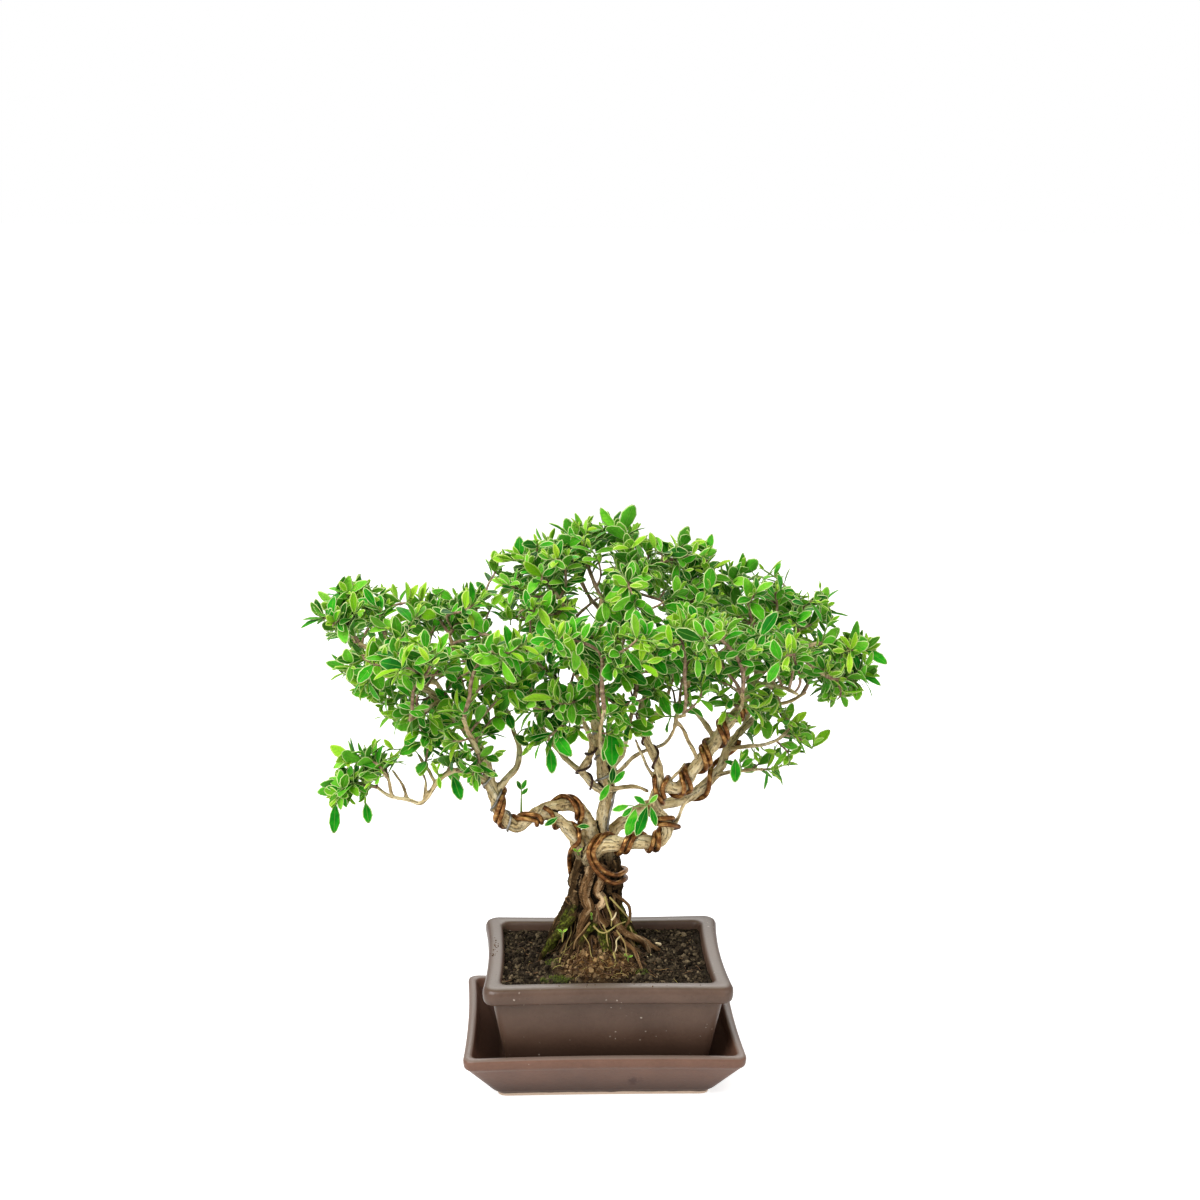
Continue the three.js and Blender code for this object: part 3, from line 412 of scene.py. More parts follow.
def make_bark():
    """Dark mossy trunk that turns to tan bark on the branches; pale marks the bare tan roots."""
    material, tree, shader = new_material("serissa_bark")
    place = object_place(tree)
    grain = grouped(tree, bark_grain, {"Place": attribute(tree, "grain", "Vector")})
    hollow = attribute(tree, "hollow")
    age = attribute(tree, "age")
    pale = attribute(tree, "pale")
    moss = attribute(tree, "moss")
    patch = cloud(tree, place, 70.0, 3.0, 0.6)
    young = ramp(tree, grain["Plates"], [
        (0.3, (140, 112, 72)), (0.44, (194, 168, 120)), (0.55, (226, 206, 160)), (0.7, (243, 230, 198))])
    old = ramp(tree, grain["Plates"], [
        (0.3, (4, 3, 1)), (0.46, (12, 8, 3)), (0.57, (32, 21, 10)), (0.68, (158, 124, 80))])
    bare = ramp(tree, grain["Plates"], [
        (0.34, (48, 30, 16)), (0.5, (122, 89, 57)), (0.68, (226, 194, 150))])
    blotch = band(tree, cloud(tree, place, 150.0, 4.0, 0.65), 0.5, 0.62)
    young = mixed(tree, scaled(tree, blotch, 0.4), young, (140, 110, 68))
    base = mixed(tree, age, young, old)
    base = mixed(tree, pale, base, bare)
    # Painted highlight: the bark's ridges are made lighter
    ridge = band(tree, hollow, -0.05, -0.5)
    ridge_highlight = mixed(tree, age, (220, 196, 150), (116, 90, 54))
    base = mixed(tree, scaled(tree, ridge, 0.14), base, ridge_highlight)
    base = mixed(tree, scaled(tree, grain["Cracks"], 0.6), base, (40, 27, 16))
    base = mixed(tree, scaled(tree, grain["Specks"], 0.5), base, (52, 38, 26))
    # Painted shade: deep hollows darken almost to black
    deep = band(tree, hollow, 0.04, 0.5)
    base = mixed(tree, scaled(tree, deep, 0.95), base, (8, 5, 2))
    green = ramp(tree, cloud(tree, place, 500.0, 3.0, 0.7), [
        (0.3, (24, 27, 8)), (0.5, (58, 62, 18)), (0.7, (122, 134, 44))])
    height = axes_of(tree, place)["Z"]
    damp = scaled(tree, band(tree, height, 114 * MM, 98 * MM), 0.55, 0.45)
    wet = combined(tree, "SUBTRACT", combined(tree, "MULTIPLY", moss, damp), 0.5)
    cover = band(tree, combined(tree, "ADD", patch, wet), 0.52, 0.7)
    cover = combined(tree, "MULTIPLY", cover, scaled(tree, deep, -0.5, 0.85))
    base = mixed(tree, cover, base, green)
    finish_surface(tree, shader, base, 0.82, grain["Height"], 0.6, shine=0.05)
    return material


def make_twig():
    """Thin grey-brown twigs; age is 0 at the green tips."""
    material, tree, shader = new_material("serissa_twig")
    place = object_place(tree)
    age = attribute(tree, "age")
    bark = ramp(tree, cloud(tree, place, 420.0, 4.0, 0.6), [
        (0.3, (84, 60, 44)), (0.5, (140, 110, 84)), (0.72, (190, 166, 136))])
    base = mixed(tree, band(tree, age, 0.0, 0.35), (112, 140, 58), bark)
    finish_surface(tree, shader, base, 0.75, cloud(tree, place, 1500.0), 0.15)
    return material


def make_leaf():
    """Leaf with a thin cream margin. blade holds mm across, share along and mm from the margin."""
    material, tree, shader = new_material("serissa_leaf")
    place = object_place(tree)
    blade = axes_of(tree, attribute(tree, "blade", "Vector"))
    kind = axes_of(tree, attribute(tree, "leaf_kind", "Vector"))
    tone, youth, upper = kind["X"], kind["Y"], kind["Z"]
    across = worked(tree, "ABSOLUTE", blade["X"])
    mottle = cloud(tree, place, 160.0, 3.0, 0.6)
    uneven = combined(tree, "SUBTRACT", mottle, 0.5)
    depth = combined(tree, "ADD", tone, scaled(tree, uneven, 0.9))
    green = ramp(tree, depth, [
        (0.0, (2, 70, 14)), (0.3, (10, 118, 16)), (0.6, (42, 164, 20)), (1.0, (126, 206, 56))])
    fresh = ramp(tree, tone, [(0.0, (120, 190, 12)), (1.0, (178, 222, 50))])
    face = mixed(tree, youth, green, fresh)
    slant = combined(tree, "SUBTRACT", scaled(tree, blade["Y"], 44.0), scaled(tree, across, 2.4))
    vein = band(tree, worked(tree, "SINE", slant), 0.7, 1.0)
    midrib = band(tree, across, 0.34, 0.1)
    face = mixed(tree, scaled(tree, vein, 0.16), face, (40, 92, 26))
    face = mixed(tree, scaled(tree, midrib, 0.4), face, (126, 178, 70))
    rim = combined(tree, "ADD", blade["Z"], scaled(tree, uneven, 0.5))
    margin = band(tree, rim, 0.7, 0.48)
    cream = mixed(tree, youth, (226, 242, 168), (212, 232, 112))
    face = mixed(tree, scaled(tree, margin, 0.8), face, cream)
    # Paler underside: partly the leaf's own paler back, partly painted light that stands for light
    # shining through the leaf
    below = mixed(tree, 0.35, face, (110, 172, 56))
    base = mixed(tree, upper, below, face)
    rough = scaled(tree, mottle, 0.2, 0.36)
    height = combined(tree, "SUBTRACT", 1.0, combined(tree, "ADD", midrib, scaled(tree, vein, 0.5)))
    finish_surface(tree, shader, base, rough, height, 0.14, shine=0.08)
    return material


def make_soil():
    """Dark peat; tone is each granule's own shade and red marks the fibrous mound."""
    material, tree, shader = new_material("bonsai_soil")
    place = object_place(tree)
    tone = attribute(tree, "tone")
    red = attribute(tree, "red")
    speckle = cloud(tree, place, 600.0, 4.0, 0.7)
    depth = combined(tree, "ADD", scaled(tree, speckle, 0.6), scaled(tree, tone, 0.7))
    peat = ramp(tree, depth, [
        (0.2, (10, 7, 3)), (0.38, (34, 27, 20)), (0.54, (74, 63, 48)),
        (0.74, (118, 103, 80)), (0.97, (146, 128, 102))])
    mound = ramp(tree, depth, [
        (0.15, (30, 17, 7)), (0.35, (72, 47, 24)), (0.55, (120, 86, 48)),
        (0.8, (186, 148, 100))])
    base = mixed(tree, red, peat, mound)
    finish_surface(tree, shader, base, 0.95, speckle, 0.5, shine=0.05)
    return material


def make_fibre():
    """Dry root fibres, from dark brown to straw; tone is each fibre's own shade."""
    material, tree, shader = new_material("root_fibre")
    place = object_place(tree)
    tone = attribute(tree, "tone")
    vary = combined(tree, "SUBTRACT", cloud(tree, place, 300.0), 0.5)
    base = ramp(tree, combined(tree, "ADD", tone, scaled(tree, vary, 0.5)), [
        (0.0, (52, 34, 20)), (0.35, (112, 78, 46)), (0.6, (150, 120, 72)),
        (0.8, (170, 160, 86)), (1.0, (222, 202, 160))])
    finish_surface(tree, shader, base, 0.8, cloud(tree, place, 2200.0), 0.1)
    return material


def make_moss():
    """Moss, darkest at the foot of its blades; tone is 0 there and up to 1 at their tips."""
    material, tree, shader = new_material("moss_green")
    place = object_place(tree)
    patch = scaled(tree, cloud(tree, place, 240.0), 0.6)
    depth = combined(tree, "ADD", patch, scaled(tree, attribute(tree, "tone"), 0.5))
    base = ramp(tree, depth, [
        (0.2, (34, 34, 8)), (0.5, (74, 80, 14)), (0.75, (122, 140, 26)), (1.0, (176, 190, 62))])
    finish_surface(tree, shader, base, 0.9, cloud(tree, place, 1500.0), 0.3)
    return material


def make_wire(name, shades, metal, rough):
    """Anodised aluminium wire in a dark, a middle and a bright shade: streaks of wear with painted
    highlight and shade.
    """
    material, tree, shader = new_material(name)
    place = object_place(tree)
    streaks = put(tree, "Mapping", {"Vector": place, "Scale": (1.0, 1.0, 1.6)}).outputs["Vector"]
    # The streaks are partly worn metal and partly painted highlight and painted shade along the wire
    wear_and_painted_sheen = cloud(tree, streaks, 190.0, 4.0, 0.65)
    base = ramp(tree, wear_and_painted_sheen, list(zip((0.3, 0.5, 0.75), shades)))
    gloss = combined(tree, "ADD", scaled(tree, wear_and_painted_sheen, 0.3), rough)
    finish_surface(tree, shader, base, gloss, cloud(tree, place, 1600.0), 0.03)
    shader.inputs["Metallic"].default_value = metal
    return material


def make_net_plastic():
    """Black plastic of the nets over the drainage holes."""
    material, tree, shader = new_material("net_plastic")
    place = object_place(tree)
    base = ramp(tree, cloud(tree, place, 500.0), [(0.3, (24, 24, 25)), (0.8, (48, 48, 50))])
    finish_surface(tree, shader, base, 0.55, cloud(tree, place, 2500.0), 0.05)
    return material


# Meshes

class Shape:
    """Points in mm, faces and values per point, gathered for one mesh."""

    def __init__(self):
        self.points = []
        self.faces = []
        self.values = {}
        self.count = 0

    def add(self, points, faces, **values):
        """Adds points, faces and for each label one value for all the points or one for each."""
        self.points.append(np.asarray(points, float))
        self.faces.extend([tuple(corner + self.count for corner in face) for face in faces])
        for name, value in values.items():
            value = np.asarray(value, float)
            if value.ndim == 0:
                value = np.full(len(points), float(value))
            self.values.setdefault(name, []).append(value)
        self.count += len(points)

    def mesh(self, name):
        """A Blender mesh of all that was added."""
        mesh = bpy.data.meshes.new(name)
        mesh.from_pydata((np.concatenate(self.points) * MM).tolist(), [], self.faces)
        for label, parts in self.values.items():
            set_attribute(mesh, label, np.concatenate(parts))
        mesh.update()
        return mesh


def set_attribute(mesh, name, values):
    """Stores one number or one vector for each point of a mesh."""
    kind, field = ("FLOAT_VECTOR", "vector") if values.ndim == 2 else ("FLOAT", "value")
    layer = mesh.attributes.new(name, kind, "POINT")
    layer.data.foreach_set(field, np.ascontiguousarray(values, np.float32).ravel())


def vertex_array(mesh, field):
    """The places ("co", in metres) or the normals ("normal") of a mesh's points."""
    flat = np.empty(len(mesh.vertices) * 3, np.float32)
    mesh.vertices.foreach_get(field, flat)
    return flat.reshape(-1, 3).astype(float)


def show(name, mesh, materials, replaced):
    """Makes a piece of a mesh, in place of CAD nodes."""
    piece = bpy.data.objects.new(name, mesh)
    bpy.context.collection.objects.link(piece)
    adopt(piece, materials, replaced)
    return piece


def adopt(piece, materials, replaced):
    """Lets a piece ride on the body and stand for CAD nodes, with its materials."""
    piece.data.name = piece.name
    piece.data.materials.clear()
    for material in materials:
        piece.data.materials.append(material)
    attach(piece, "root")
    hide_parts(*replaced)


def apply_all(piece):
    """Applies a piece's modifiers as they stand."""
    bpy.ops.object.select_all(action="DESELECT")
    piece.select_set(True)
    bpy.context.view_layer.objects.active = piece
    for modifier in list(piece.modifiers):
        bpy.ops.object.modifier_apply(modifier=modifier.name)


def smooth_shading(piece):
    """Shades all faces of a piece smooth."""
    piece.data.polygons.foreach_set("use_smooth", [True] * len(piece.data.polygons))


def taken_primitive():
    """Points and faces of the primitive added last, which is then removed."""
    made = bpy.context.object
    points = np.array([vertex.co for vertex in made.data.vertices])
    faces = [tuple(face.vertices) for face in made.data.polygons]
    bpy.data.objects.remove(made)
    return points, faces


def ring_faces(rings, count):
    """Four-cornered faces between rings of points, each of count points."""
    faces = []
    for ring in range(rings - 1):
        for i in range(count):
            a = ring * count + i
            b = ring * count + (i + 1) % count
            faces.append((a, b, b + count, a + count))
    return faces


# Curves

def unit(vectors):
    """Vectors cut or stretched to length 1."""
    length = np.linalg.norm(vectors, axis=-1, keepdims=True)
    return vectors / np.maximum(length, 1e-9)


def fine_curve(points, steps=24):
    """Points close together on the centripetal curve through the given ones."""
    points = np.array(points, float)
    before = 2 * points[0] - points[1]
    after = 2 * points[-1] - points[-2]
    line = np.vstack([before, points, after])
    pieces = []
    for a, b, c, d in zip(line, line[1:], line[2:], line[3:]):
        t1 = np.linalg.norm(b - a) ** 0.5
        t2 = t1 + np.linalg.norm(c - b) ** 0.5
        t3 = t2 + np.linalg.norm(d - c) ** 0.5
        t = np.linspace(t1, t2, steps, endpoint=False)[:, None]
        ab = (t1 - t) / t1 * a + t / t1 * b
        bc = (t2 - t) / (t2 - t1) * b + (t - t1) / (t2 - t1) * c
        cd = (t3 - t) / (t3 - t2) * c + (t - t2) / (t3 - t2) * d
        abc = (t2 - t) / t2 * ab + t / t2 * bc
        bcd = (t3 - t) / (t3 - t1) * bc + (t - t1) / (t3 - t1) * cd
        pieces.append((t2 - t) / (t2 - t1) * abc + (t - t1) / (t2 - t1) * bcd)
    return np.vstack([*pieces, points[-1:]])


def lengths_along(line):
    """Distance from the start to each point of a line."""
    return np.concatenate([[0.0], np.cumsum(np.linalg.norm(np.diff(line, axis=0), axis=1))])


def points_at(line, shares):
    """Points at shares of a line's length."""
    reach = lengths_along(line)
    return np.stack([np.interp(shares * reach[-1], reach, line[:, i]) for i in range(3)], 1)


def evenly(points, spacing):
    """Evenly spaced points on the curve through the given ones, and their shares of its length."""
    line = fine_curve(points)
    count = max(2, math.ceil(lengths_along(line)[-1] / spacing)) + 1
    shares = np.linspace(0, 1, count)
    return points_at(line, shares), shares


def value_along(values, shares):
    """Evenly spaced values read at shares of the length."""
    return np.interp(shares, np.linspace(0, 1, len(values)), values)


def carried_frames(line):
    """Unit tangents, normals and binormals that turn with a line and don't twist round it."""
    tangents = unit(np.gradient(line, axis=0))
    first = np.zeros(3)
    # The last of the axes that the line's start leans on least
    lean = np.abs(tangents[0])
    first[[i for i in range(3) if lean[i] <= lean.min() + 1e-12][-1]] = 1
    side = unit(np.cross(tangents[0], first))
    normal = np.cross(tangents[0], side)
    normals = [normal]
    for tangent in tangents[1:]:
        normal = unit(normal - tangent * (normal @ tangent))
        normals.append(normal)
    normals = np.array(normals)
    return tangents, normals, np.cross(tangents, normals)


def tube(line, radii, sides):
    """Points and faces of a closed tube round a line."""
    _, normals, binormals = carried_frames(line)
    angles = np.arange(sides) * FULL_TURN / sides
    across = np.cos(angles)[None, :, None] * normals[:, None, :]
    across = across + np.sin(angles)[None, :, None] * binormals[:, None, :]
    rings = line[:, None, :] + across * np.asarray(radii)[:, None, None]
    points = np.vstack([rings.reshape(-1, 3), line[:1], line[-1:]])
    faces = ring_faces(len(line), sides)
    start = len(points) - 2
    last = (len(line) - 1) * sides
    for side in range(sides):
        after = (side + 1) % sides
        faces.append((start, after, side))
        faces.append((start + 1, last + side, last + after))
    return points, faces


# Pot and tray

def bowed_outline(half, bow, corner, side_points=20, corner_points=8):
    """Points of a rectangle whose sides bow inwards and whose corners are rounded.

    bow is how far the two short sides and the two long sides bow in.
    """
    corners = np.array([(1, -1), (1, 1), (-1, 1), (-1, -1)]) * half
    outline = []
    for i in range(4):
        start, end, after = corners[i], corners[(i + 1) % 4], corners[(i + 2) % 4]
        ahead, inward = unit(end - start), unit(after - end)
        enter, leave = end - ahead * corner, end + inward * corner
        for t in np.arange(side_points) / side_points:
            place = start + ahead * corner + (enter - start - ahead * corner) * t
            outline.append(place + inward * bow[i % 2] * (1 - (2 * t - 1) ** 2))
        for t in np.arange(corner_points) / corner_points:
            outline.append((1 - t) ** 2 * enter + 2 * t * (1 - t) * end + t ** 2 * leave)
    return outline


def rounded_profile(corners, steps=5):
    """Profile through (inset, height, rounding) corners, as (inset, height) points."""
    path = [corners[0][:2]]
    for before, here, after in zip(corners, corners[1:], corners[2:]):
        corner = np.array(here[:2], float)
        enter = corner + unit(np.array(before[:2]) - corner) * here[2]
        leave = corner + unit(np.array(after[:2]) - corner) * here[2]
        for t in np.linspace(0, 1, steps):
            path.append(tuple((1 - t) ** 2 * enter + 2 * t * (1 - t) * corner + t ** 2 * leave))
    path.append(corners[-1][:2])
    return path


def pull_vessel(name, centre_x, rim, profile, bows, corners):
    """Pulls a ring of edges up the outside, over the lip and down the inside, and closes both ends.

    profile holds (inset from the rim, height). bows and corners are read at the inset, from the
    rim inwards. The points' inside value is 0 outside and rises to 1 down the inside.
    """
    def outline_at(inset):
        """The outline at an inset from the rim, seen from above."""
        bow = [np.interp(inset, bows[0], values) for values in bows[1:]]
        outline = bowed_outline((rim[0] - inset, rim[1] - inset), bow, np.interp(inset, *corners))
        return np.array(outline) + (centre_x, 0)

    inset, height = profile[0]
    outline = outline_at(inset)
    bpy.ops.mesh.primitive_circle_add(vertices=len(outline), radius=MM, fill_type="NOTHING")
    vessel = bpy.context.object
    vessel.name = name
    number = vessel.data.attributes.new("number", "INT", "POINT")
    number.data.foreach_set("value", list(range(len(outline))))
    for vertex, (x, y) in zip(vessel.data.vertices, outline):
        vertex.co = (x * MM, y * MM, height * MM)
    bpy.ops.object.mode_set(mode="EDIT")
    bpy.ops.mesh.select_all(action="SELECT")
    for inset, next_height in profile[1:]:
        rise = (next_height - height) * MM
        bpy.ops.mesh.extrude_edges_move(TRANSFORM_OT_translate={"value": (0, 0, rise)})
        ring = bmesh.from_edit_mesh(vessel.data)
        order = ring.verts.layers.int["number"]
        outline = outline_at(inset)
        for vertex in ring.verts:
            if vertex.select:
                vertex.co.xy = outline[vertex[order]] * MM
        height = next_height
    bpy.ops.mesh.edge_face_add()
    bpy.ops.mesh.select_all(action="SELECT")
    bpy.ops.mesh.region_to_loop()
    bpy.ops.mesh.edge_face_add()
    bpy.ops.mesh.select_all(action="SELECT")
    bpy.ops.mesh.normals_make_consistent(inside=False)
    bpy.ops.object.mode_set(mode="OBJECT")
    vessel.data.attributes.remove(vessel.data.attributes["number"])
    ring = np.arange(len(vessel.data.vertices)) // len(outline)
    highest = np.argmax([height for _, height in profile])
    # Rings past the highest one that still count as the lip, and rings over which the value rises
    lip, fade = 3, 6
    set_attribute(vessel.data, "inside", np.clip((ring - highest - lip) / fade, 0, 1))
    return vessel


def drill(piece, x):
    """Cuts one round drainage hole through the pot's floor."""
    bpy.ops.mesh.primitive_cylinder_add(vertices=40, radius=DRAIN_RADIUS * MM, depth=DRILL_LENGTH * MM,
                                        location=(x * MM, 0, POT_BASE * MM))
    bit = bpy.context.object
    cut = piece.modifiers.new("hole", "BOOLEAN")
    cut.operation = "DIFFERENCE"
    cut.object = bit
    apply_all(piece)
    bpy.data.objects.remove(bit)


def model_pot():
    """Pulls up the pot, drills its drainage holes and gives it its feet."""
    floor = POT_BASE + POT_FLOOR
    profile = rounded_profile([
        (34, POT_BASE, 0), (16, POT_BASE, 1.2), (6.0, 65.9, 1.2), (0.8, 64.8, 3.6), (-0.2, POT_TOP, 5.6),
        (11.2, POT_TOP - 0.2, 2.8), (12.4, 66, 1.5), (21, floor, 3.5), (34, floor, 0)])
    bows = ((0, 6, 12, 20), (2.6, 1.6, 1.0, 1.0), (1.9, 1.3, 1.0, 0.8))
    pot = pull_vessel("stoneware_pot", POT_X, POT_RIM, profile, bows, ((0, 5, 12), (9, 5, 6)))
    for x in (-DRAIN_X, DRAIN_X):
        drill(pot, x)
    feet = []
    for x in (-FOOT_X, FOOT_X):
        for y in (-FOOT_Y, FOOT_Y):
            bpy.ops.mesh.primitive_cube_add(size=MM, location=(x * MM, y * MM, FOOT_MIDDLE * MM))
            foot = bpy.context.object
            foot.scale = FOOT_SIZE
            bpy.ops.object.transform_apply(location=True, scale=True)
            bpy.ops.object.mode_set(mode="EDIT")
            bpy.ops.mesh.select_all(action="SELECT")
            bpy.ops.mesh.bevel(offset=FOOT_ROUNDING * MM, segments=3)
            bpy.ops.object.mode_set(mode="OBJECT")
            feet.append(foot)
    for foot in feet:
        foot.select_set(True)
    pot.select_set(True)
    bpy.context.view_layer.objects.active = pot
    bpy.ops.object.join()
    bpy.ops.object.shade_smooth_by_angle(angle=SMOOTH_BELOW)
    adopt(pot, [pot_clay], ["pot"])


def model_tray():
    """Pulls up the drip tray."""
    profile = rounded_profile([
        (45, 0.4, 0), (20.6, 0, 0.5), (20.2, 2.2, 0.6), (17.6, 4.6, 0.8), (2.9, TRAY_TOP - 8.2, 1.2),
        (0.6, TRAY_TOP - 6.2, 1.4), (0, TRAY_TOP, 2.6), (5.4, TRAY_TOP, 1.8), (7.2, TRAY_TOP - 6, 1.0),
        (22, 6.2, 4), (45, 6, 0)])
    bows = ((0, 7, 20), (1.6, 1.4, 0.6), (2.4, 2.2, 0.6))
    tray = pull_vessel("stoneware_tray", 0, TRAY_RIM, profile, bows, ((0, 5, 20), (6.5, 4.5, 6)))
    bpy.ops.object.shade_smooth_by_angle(angle=SMOOTH_BELOW)
    adopt(tray, [tray_clay], ["drip_tray"])


# Wood

def sample_limb(number, radii, route, pale=0.0, moss=0.0, wander=0.5, spacing=1.0):
    """Close samples of one limb, with a small wander of its own and a slightly uneven thickness."""
    line, shares = evenly(route, spacing)
    reach = lengths_along(line)
    # The wander fades out over the last 8 mm at both ends
    ease = np.minimum(1, np.minimum(reach, reach[-1] - reach) / 8)
    own = number * 17.3
    drift = np.array([noise.noise_vector(Vector((s * 0.09, own, 0))) for s in reach])
    line = line + drift * (wander * ease)[:, None]
    knots = np.array([noise.noise(Vector((s * 0.22, own, 5))) for s in reach])
    thick = value_along(radii, shares) * (1 + 0.22 * knots)
    return {"line": line, "radii": thick, "reach": reach, "pale": pale, "moss": moss}


def hanging_root(source, height, spread):
    """Route of a thin root that leaves the trunk at a height and meets the soil at a spread from it."""
    in_front = source.random() < 0.7
    angle = math.radians(source.uniform(185, 355) if in_front else source.uniform(0, 180))
    turned = angle + source.normal(0, 0.3)
    hug = TRUNK_REACH + FRONT_BULGE * max(0, -math.sin(angle))
    route = []
    for share, reach in ((0, hug), (0.3, hug + 1), (0.7, hug + 0.4 * spread), (1, hug + spread)):
        way = angle + (turned - angle) * share
        x, y = TRUNK_X + reach * math.cos(way), TRUNK_Y + reach * math.sin(way)
        ground = float(soil_height(x, y)) - 1
        route.append((x, y, ground + (height - ground) * (1 - share) ** 1.1))
    return route


def trunk_strands():
    """Fused roots all round the trunk, which twist down into the soil, and thin roots that hang down."""
    source = np.random.default_rng(TRUNK_SEED)
    strands = []
    for number, start in enumerate(np.linspace(0, FULL_TURN, STRANDS, endpoint=False)):
        swing = source.uniform(-0.2, 0.35)
        route = []
        for height, reach in zip(STRAND_HEIGHTS, STRAND_REACHES):
            twist = swing * (STRAND_HEIGHTS[0] - height) / 60
            angle = start + twist + source.uniform(-0.09, 0.09)
            out = reach * source.uniform(0.93, 1.05)
            route.append((TRUNK_X + out * math.cos(angle), TRUNK_Y + out * math.sin(angle), height))
        radii = [size * source.uniform(0.85, 1.15) for size in STRAND_RADII]
        pale, moss = source.uniform(0, 0.2), source.uniform(0.2, 0.6)
        strands.append(sample_limb(STRAND_NUMBER + number, radii, route, pale, moss, 1.4))
    for number in range(THIN_ROOTS):
        route = hanging_root(source, source.uniform(94, 116), source.uniform(6, 18))
        size = source.uniform(0.9, 1.5)
        radii = (size, size, 0.85 * size, 0.6 * size)
        pale, moss = source.beta(0.6, 2), source.uniform(0.1, 0.9)
        strands.append(sample_limb(THIN_ROOT_NUMBER + number, radii, route, pale, moss, 2.2))
    return strands


def grown_mesh(name, limbs, voxel):
    """Tubes along the limbs, grown together into one skin."""
    shape = Shape()
    for limb in limbs:
        sides = 14 if limb["radii"].max() > THICK_LIMB else 10
        shape.add(*tube(limb["line"], limb["radii"], sides))
    piece = bpy.data.objects.new(name, shape.mesh(name))
    bpy.context.collection.objects.link(piece)
    skin = piece.modifiers.new("skin", "REMESH")
    skin.mode = "VOXEL"
    skin.voxel_size = voxel * MM
    soften = piece.modifiers.new("soften", "SMOOTH")
    soften.factor = 0.5
    soften.iterations = 3
    apply_all(piece)
    return piece


def end_to_end(limbs, value):
    """One kind of value of all the limbs' samples."""
    return np.concatenate([limb[value] for limb in limbs])


def nearest_samples(points, limbs):
    """For each point, the sample whose skin is nearest, as an index into all limbs' samples."""
    centres = end_to_end(limbs, "line")
    radii = end_to_end(limbs, "radii")
    found = np.empty(len(points), int)
    at_once = 4000
    for start in range(0, len(points), at_once):
        part = points[start:start + at_once]
        squared = (part ** 2).sum(1)[:, None] + (centres ** 2).sum(1)[None, :] - 2 * part @ centres.T
        away = np.sqrt(np.maximum(squared, 0)) - radii
        found[start:start + at_once] = np.argmin(away, axis=1)
    return found


def neighbour_mean(mesh, values, rounds):
    """Values at a mesh's points, averaged over their neighbours again and again."""
    edges = np.empty(len(mesh.edges) * 2, np.int32)
    mesh.edges.foreach_get("vertices", edges)
    first, second = edges.reshape(-1, 2).T
    count = np.bincount(edges, minlength=len(mesh.vertices)).astype(float)[:, None]
    for _ in range(rounds):
        total = np.zeros_like(values)
        for axis in range(values.shape[1]):
            total[:, axis] += np.bincount(first, values[second, axis], len(values))
            total[:, axis] += np.bincount(second, values[first, axis], len(values))
        values = total / np.maximum(count, 1)
    return values


def finish_bark(piece, limbs, relief, young_above):
    """Raises bark along the limbs and stores what the bark's material reads.

    Those values are grain, hollow (above 0 in dips, below 0 on ridges), age (1 on old bark), pale
    and moss.
    """
    mesh = piece.data
    points = vertex_array(mesh, "co") / MM
    samples = nearest_samples(points, limbs)
    centres = end_to_end(limbs, "line")[samples]
    reach = np.concatenate([limb["reach"] + BARK_APART * i for i, limb in enumerate(limbs)])[samples]
    size = end_to_end(limbs, "radii")[samples]
    radial = points - centres
    along = reach[:, None] * BARK_DIRECTION
    ridges = np.array([noise.noise(Vector(p)) for p in (radial * 0.42 + along * 0.055).tolist()])
    fine = np.array([noise.noise(Vector(p)) for p in (radial * 1.3 + along * 0.2).tolist()])
    lift = relief * np.minimum(1, size / 3) * ((0.5 - np.abs(ridges)) * 1.5 + 0.35 * fine)
    points = points + vertex_array(mesh, "normal") * lift[:, None]
    mesh.vertices.foreach_set("co", (points * MM).astype(np.float32).ravel())
    mesh.update()
    near = neighbour_mean(mesh, points, 5)
    broad = neighbour_mean(mesh, near, 30)
    # hollow drives the bark's painted shade in dips and its painted highlight on ridges
    hollow = ((near - points) * 2.6 + (broad - points) * 1.5) * vertex_array(mesh, "normal")
    for label in ("pale", "moss"):
        spread = np.concatenate([np.full(len(limb["line"]), limb[label]) for limb in limbs])
        set_attribute(mesh, label, neighbour_mean(mesh, spread[samples][:, None], 6)[:, 0])
    set_attribute(mesh, "grain", (radial + along * 0.2) * MM)
    set_attribute(mesh, "hollow", np.clip(hollow.sum(1), -1, 1))
    set_attribute(mesh, "age", np.clip((young_above - points[:, 2]) / YOUNG_FADE, 0, 1))
    smooth_shading(piece)
    adopt(piece, [bark], ["tree"])


# Training wire

def obstacle_rounds(line, radii):
    """Balls along a limb or wire, which later wires stay clear of."""
    return np.column_stack([line, radii])


def push_off(point, wire_radius, rounds):
    """Moves a wire's point out of the balls."""
    for _ in range(6):
        close = np.linalg.norm(rounds[:, :3] - point, axis=1) < rounds[:, 3] + wire_radius + 1
        for near in rounds[close]:
            away = point - near[:3]
            reach = near[3] + wire_radius + WIRE_CLEARANCE
            length = np.linalg.norm(away)
            if length < reach:
                point = near[:3] + away / max(length, 1e-6) * reach
    return point


def wind(limb, start, end, pitch, phase, wire_radius, rounds):
    """Points of a wire wound on a limb between two shares of its length.

    A negative pitch winds it the other way.
    """
    radii, route = limb
    line = points_at(fine_curve(route), np.linspace(0, 1, LIMB_STEPS + 1))
    length = lengths_along(line)[-1]
    _, normals, binormals = carried_frames(line)
    samples = math.ceil(length * (end - start) / abs(pitch) * SAMPLES_PER_TURN)
    wire = []
    for share in np.linspace(start, end, samples + 1):
        k = round(share * LIMB_STEPS)
        angle = phase + share * length * FULL_TURN / pitch
        reach = value_along(radii, share) + wire_radius + WIRE_CLEARANCE
        out = normals[k] * math.cos(angle) + binormals[k] * math.sin(angle)
        wire.append(push_off(line[k] + out * reach, wire_radius, rounds))
    for _ in range(3):
        even = np.array(wire)
        even[1:-1] = even[1:-1] / 2 + (even[:-2] + even[2:]) / 4
        wire = list(even)
    return [push_off(point, wire_radius, rounds) for point in wire]


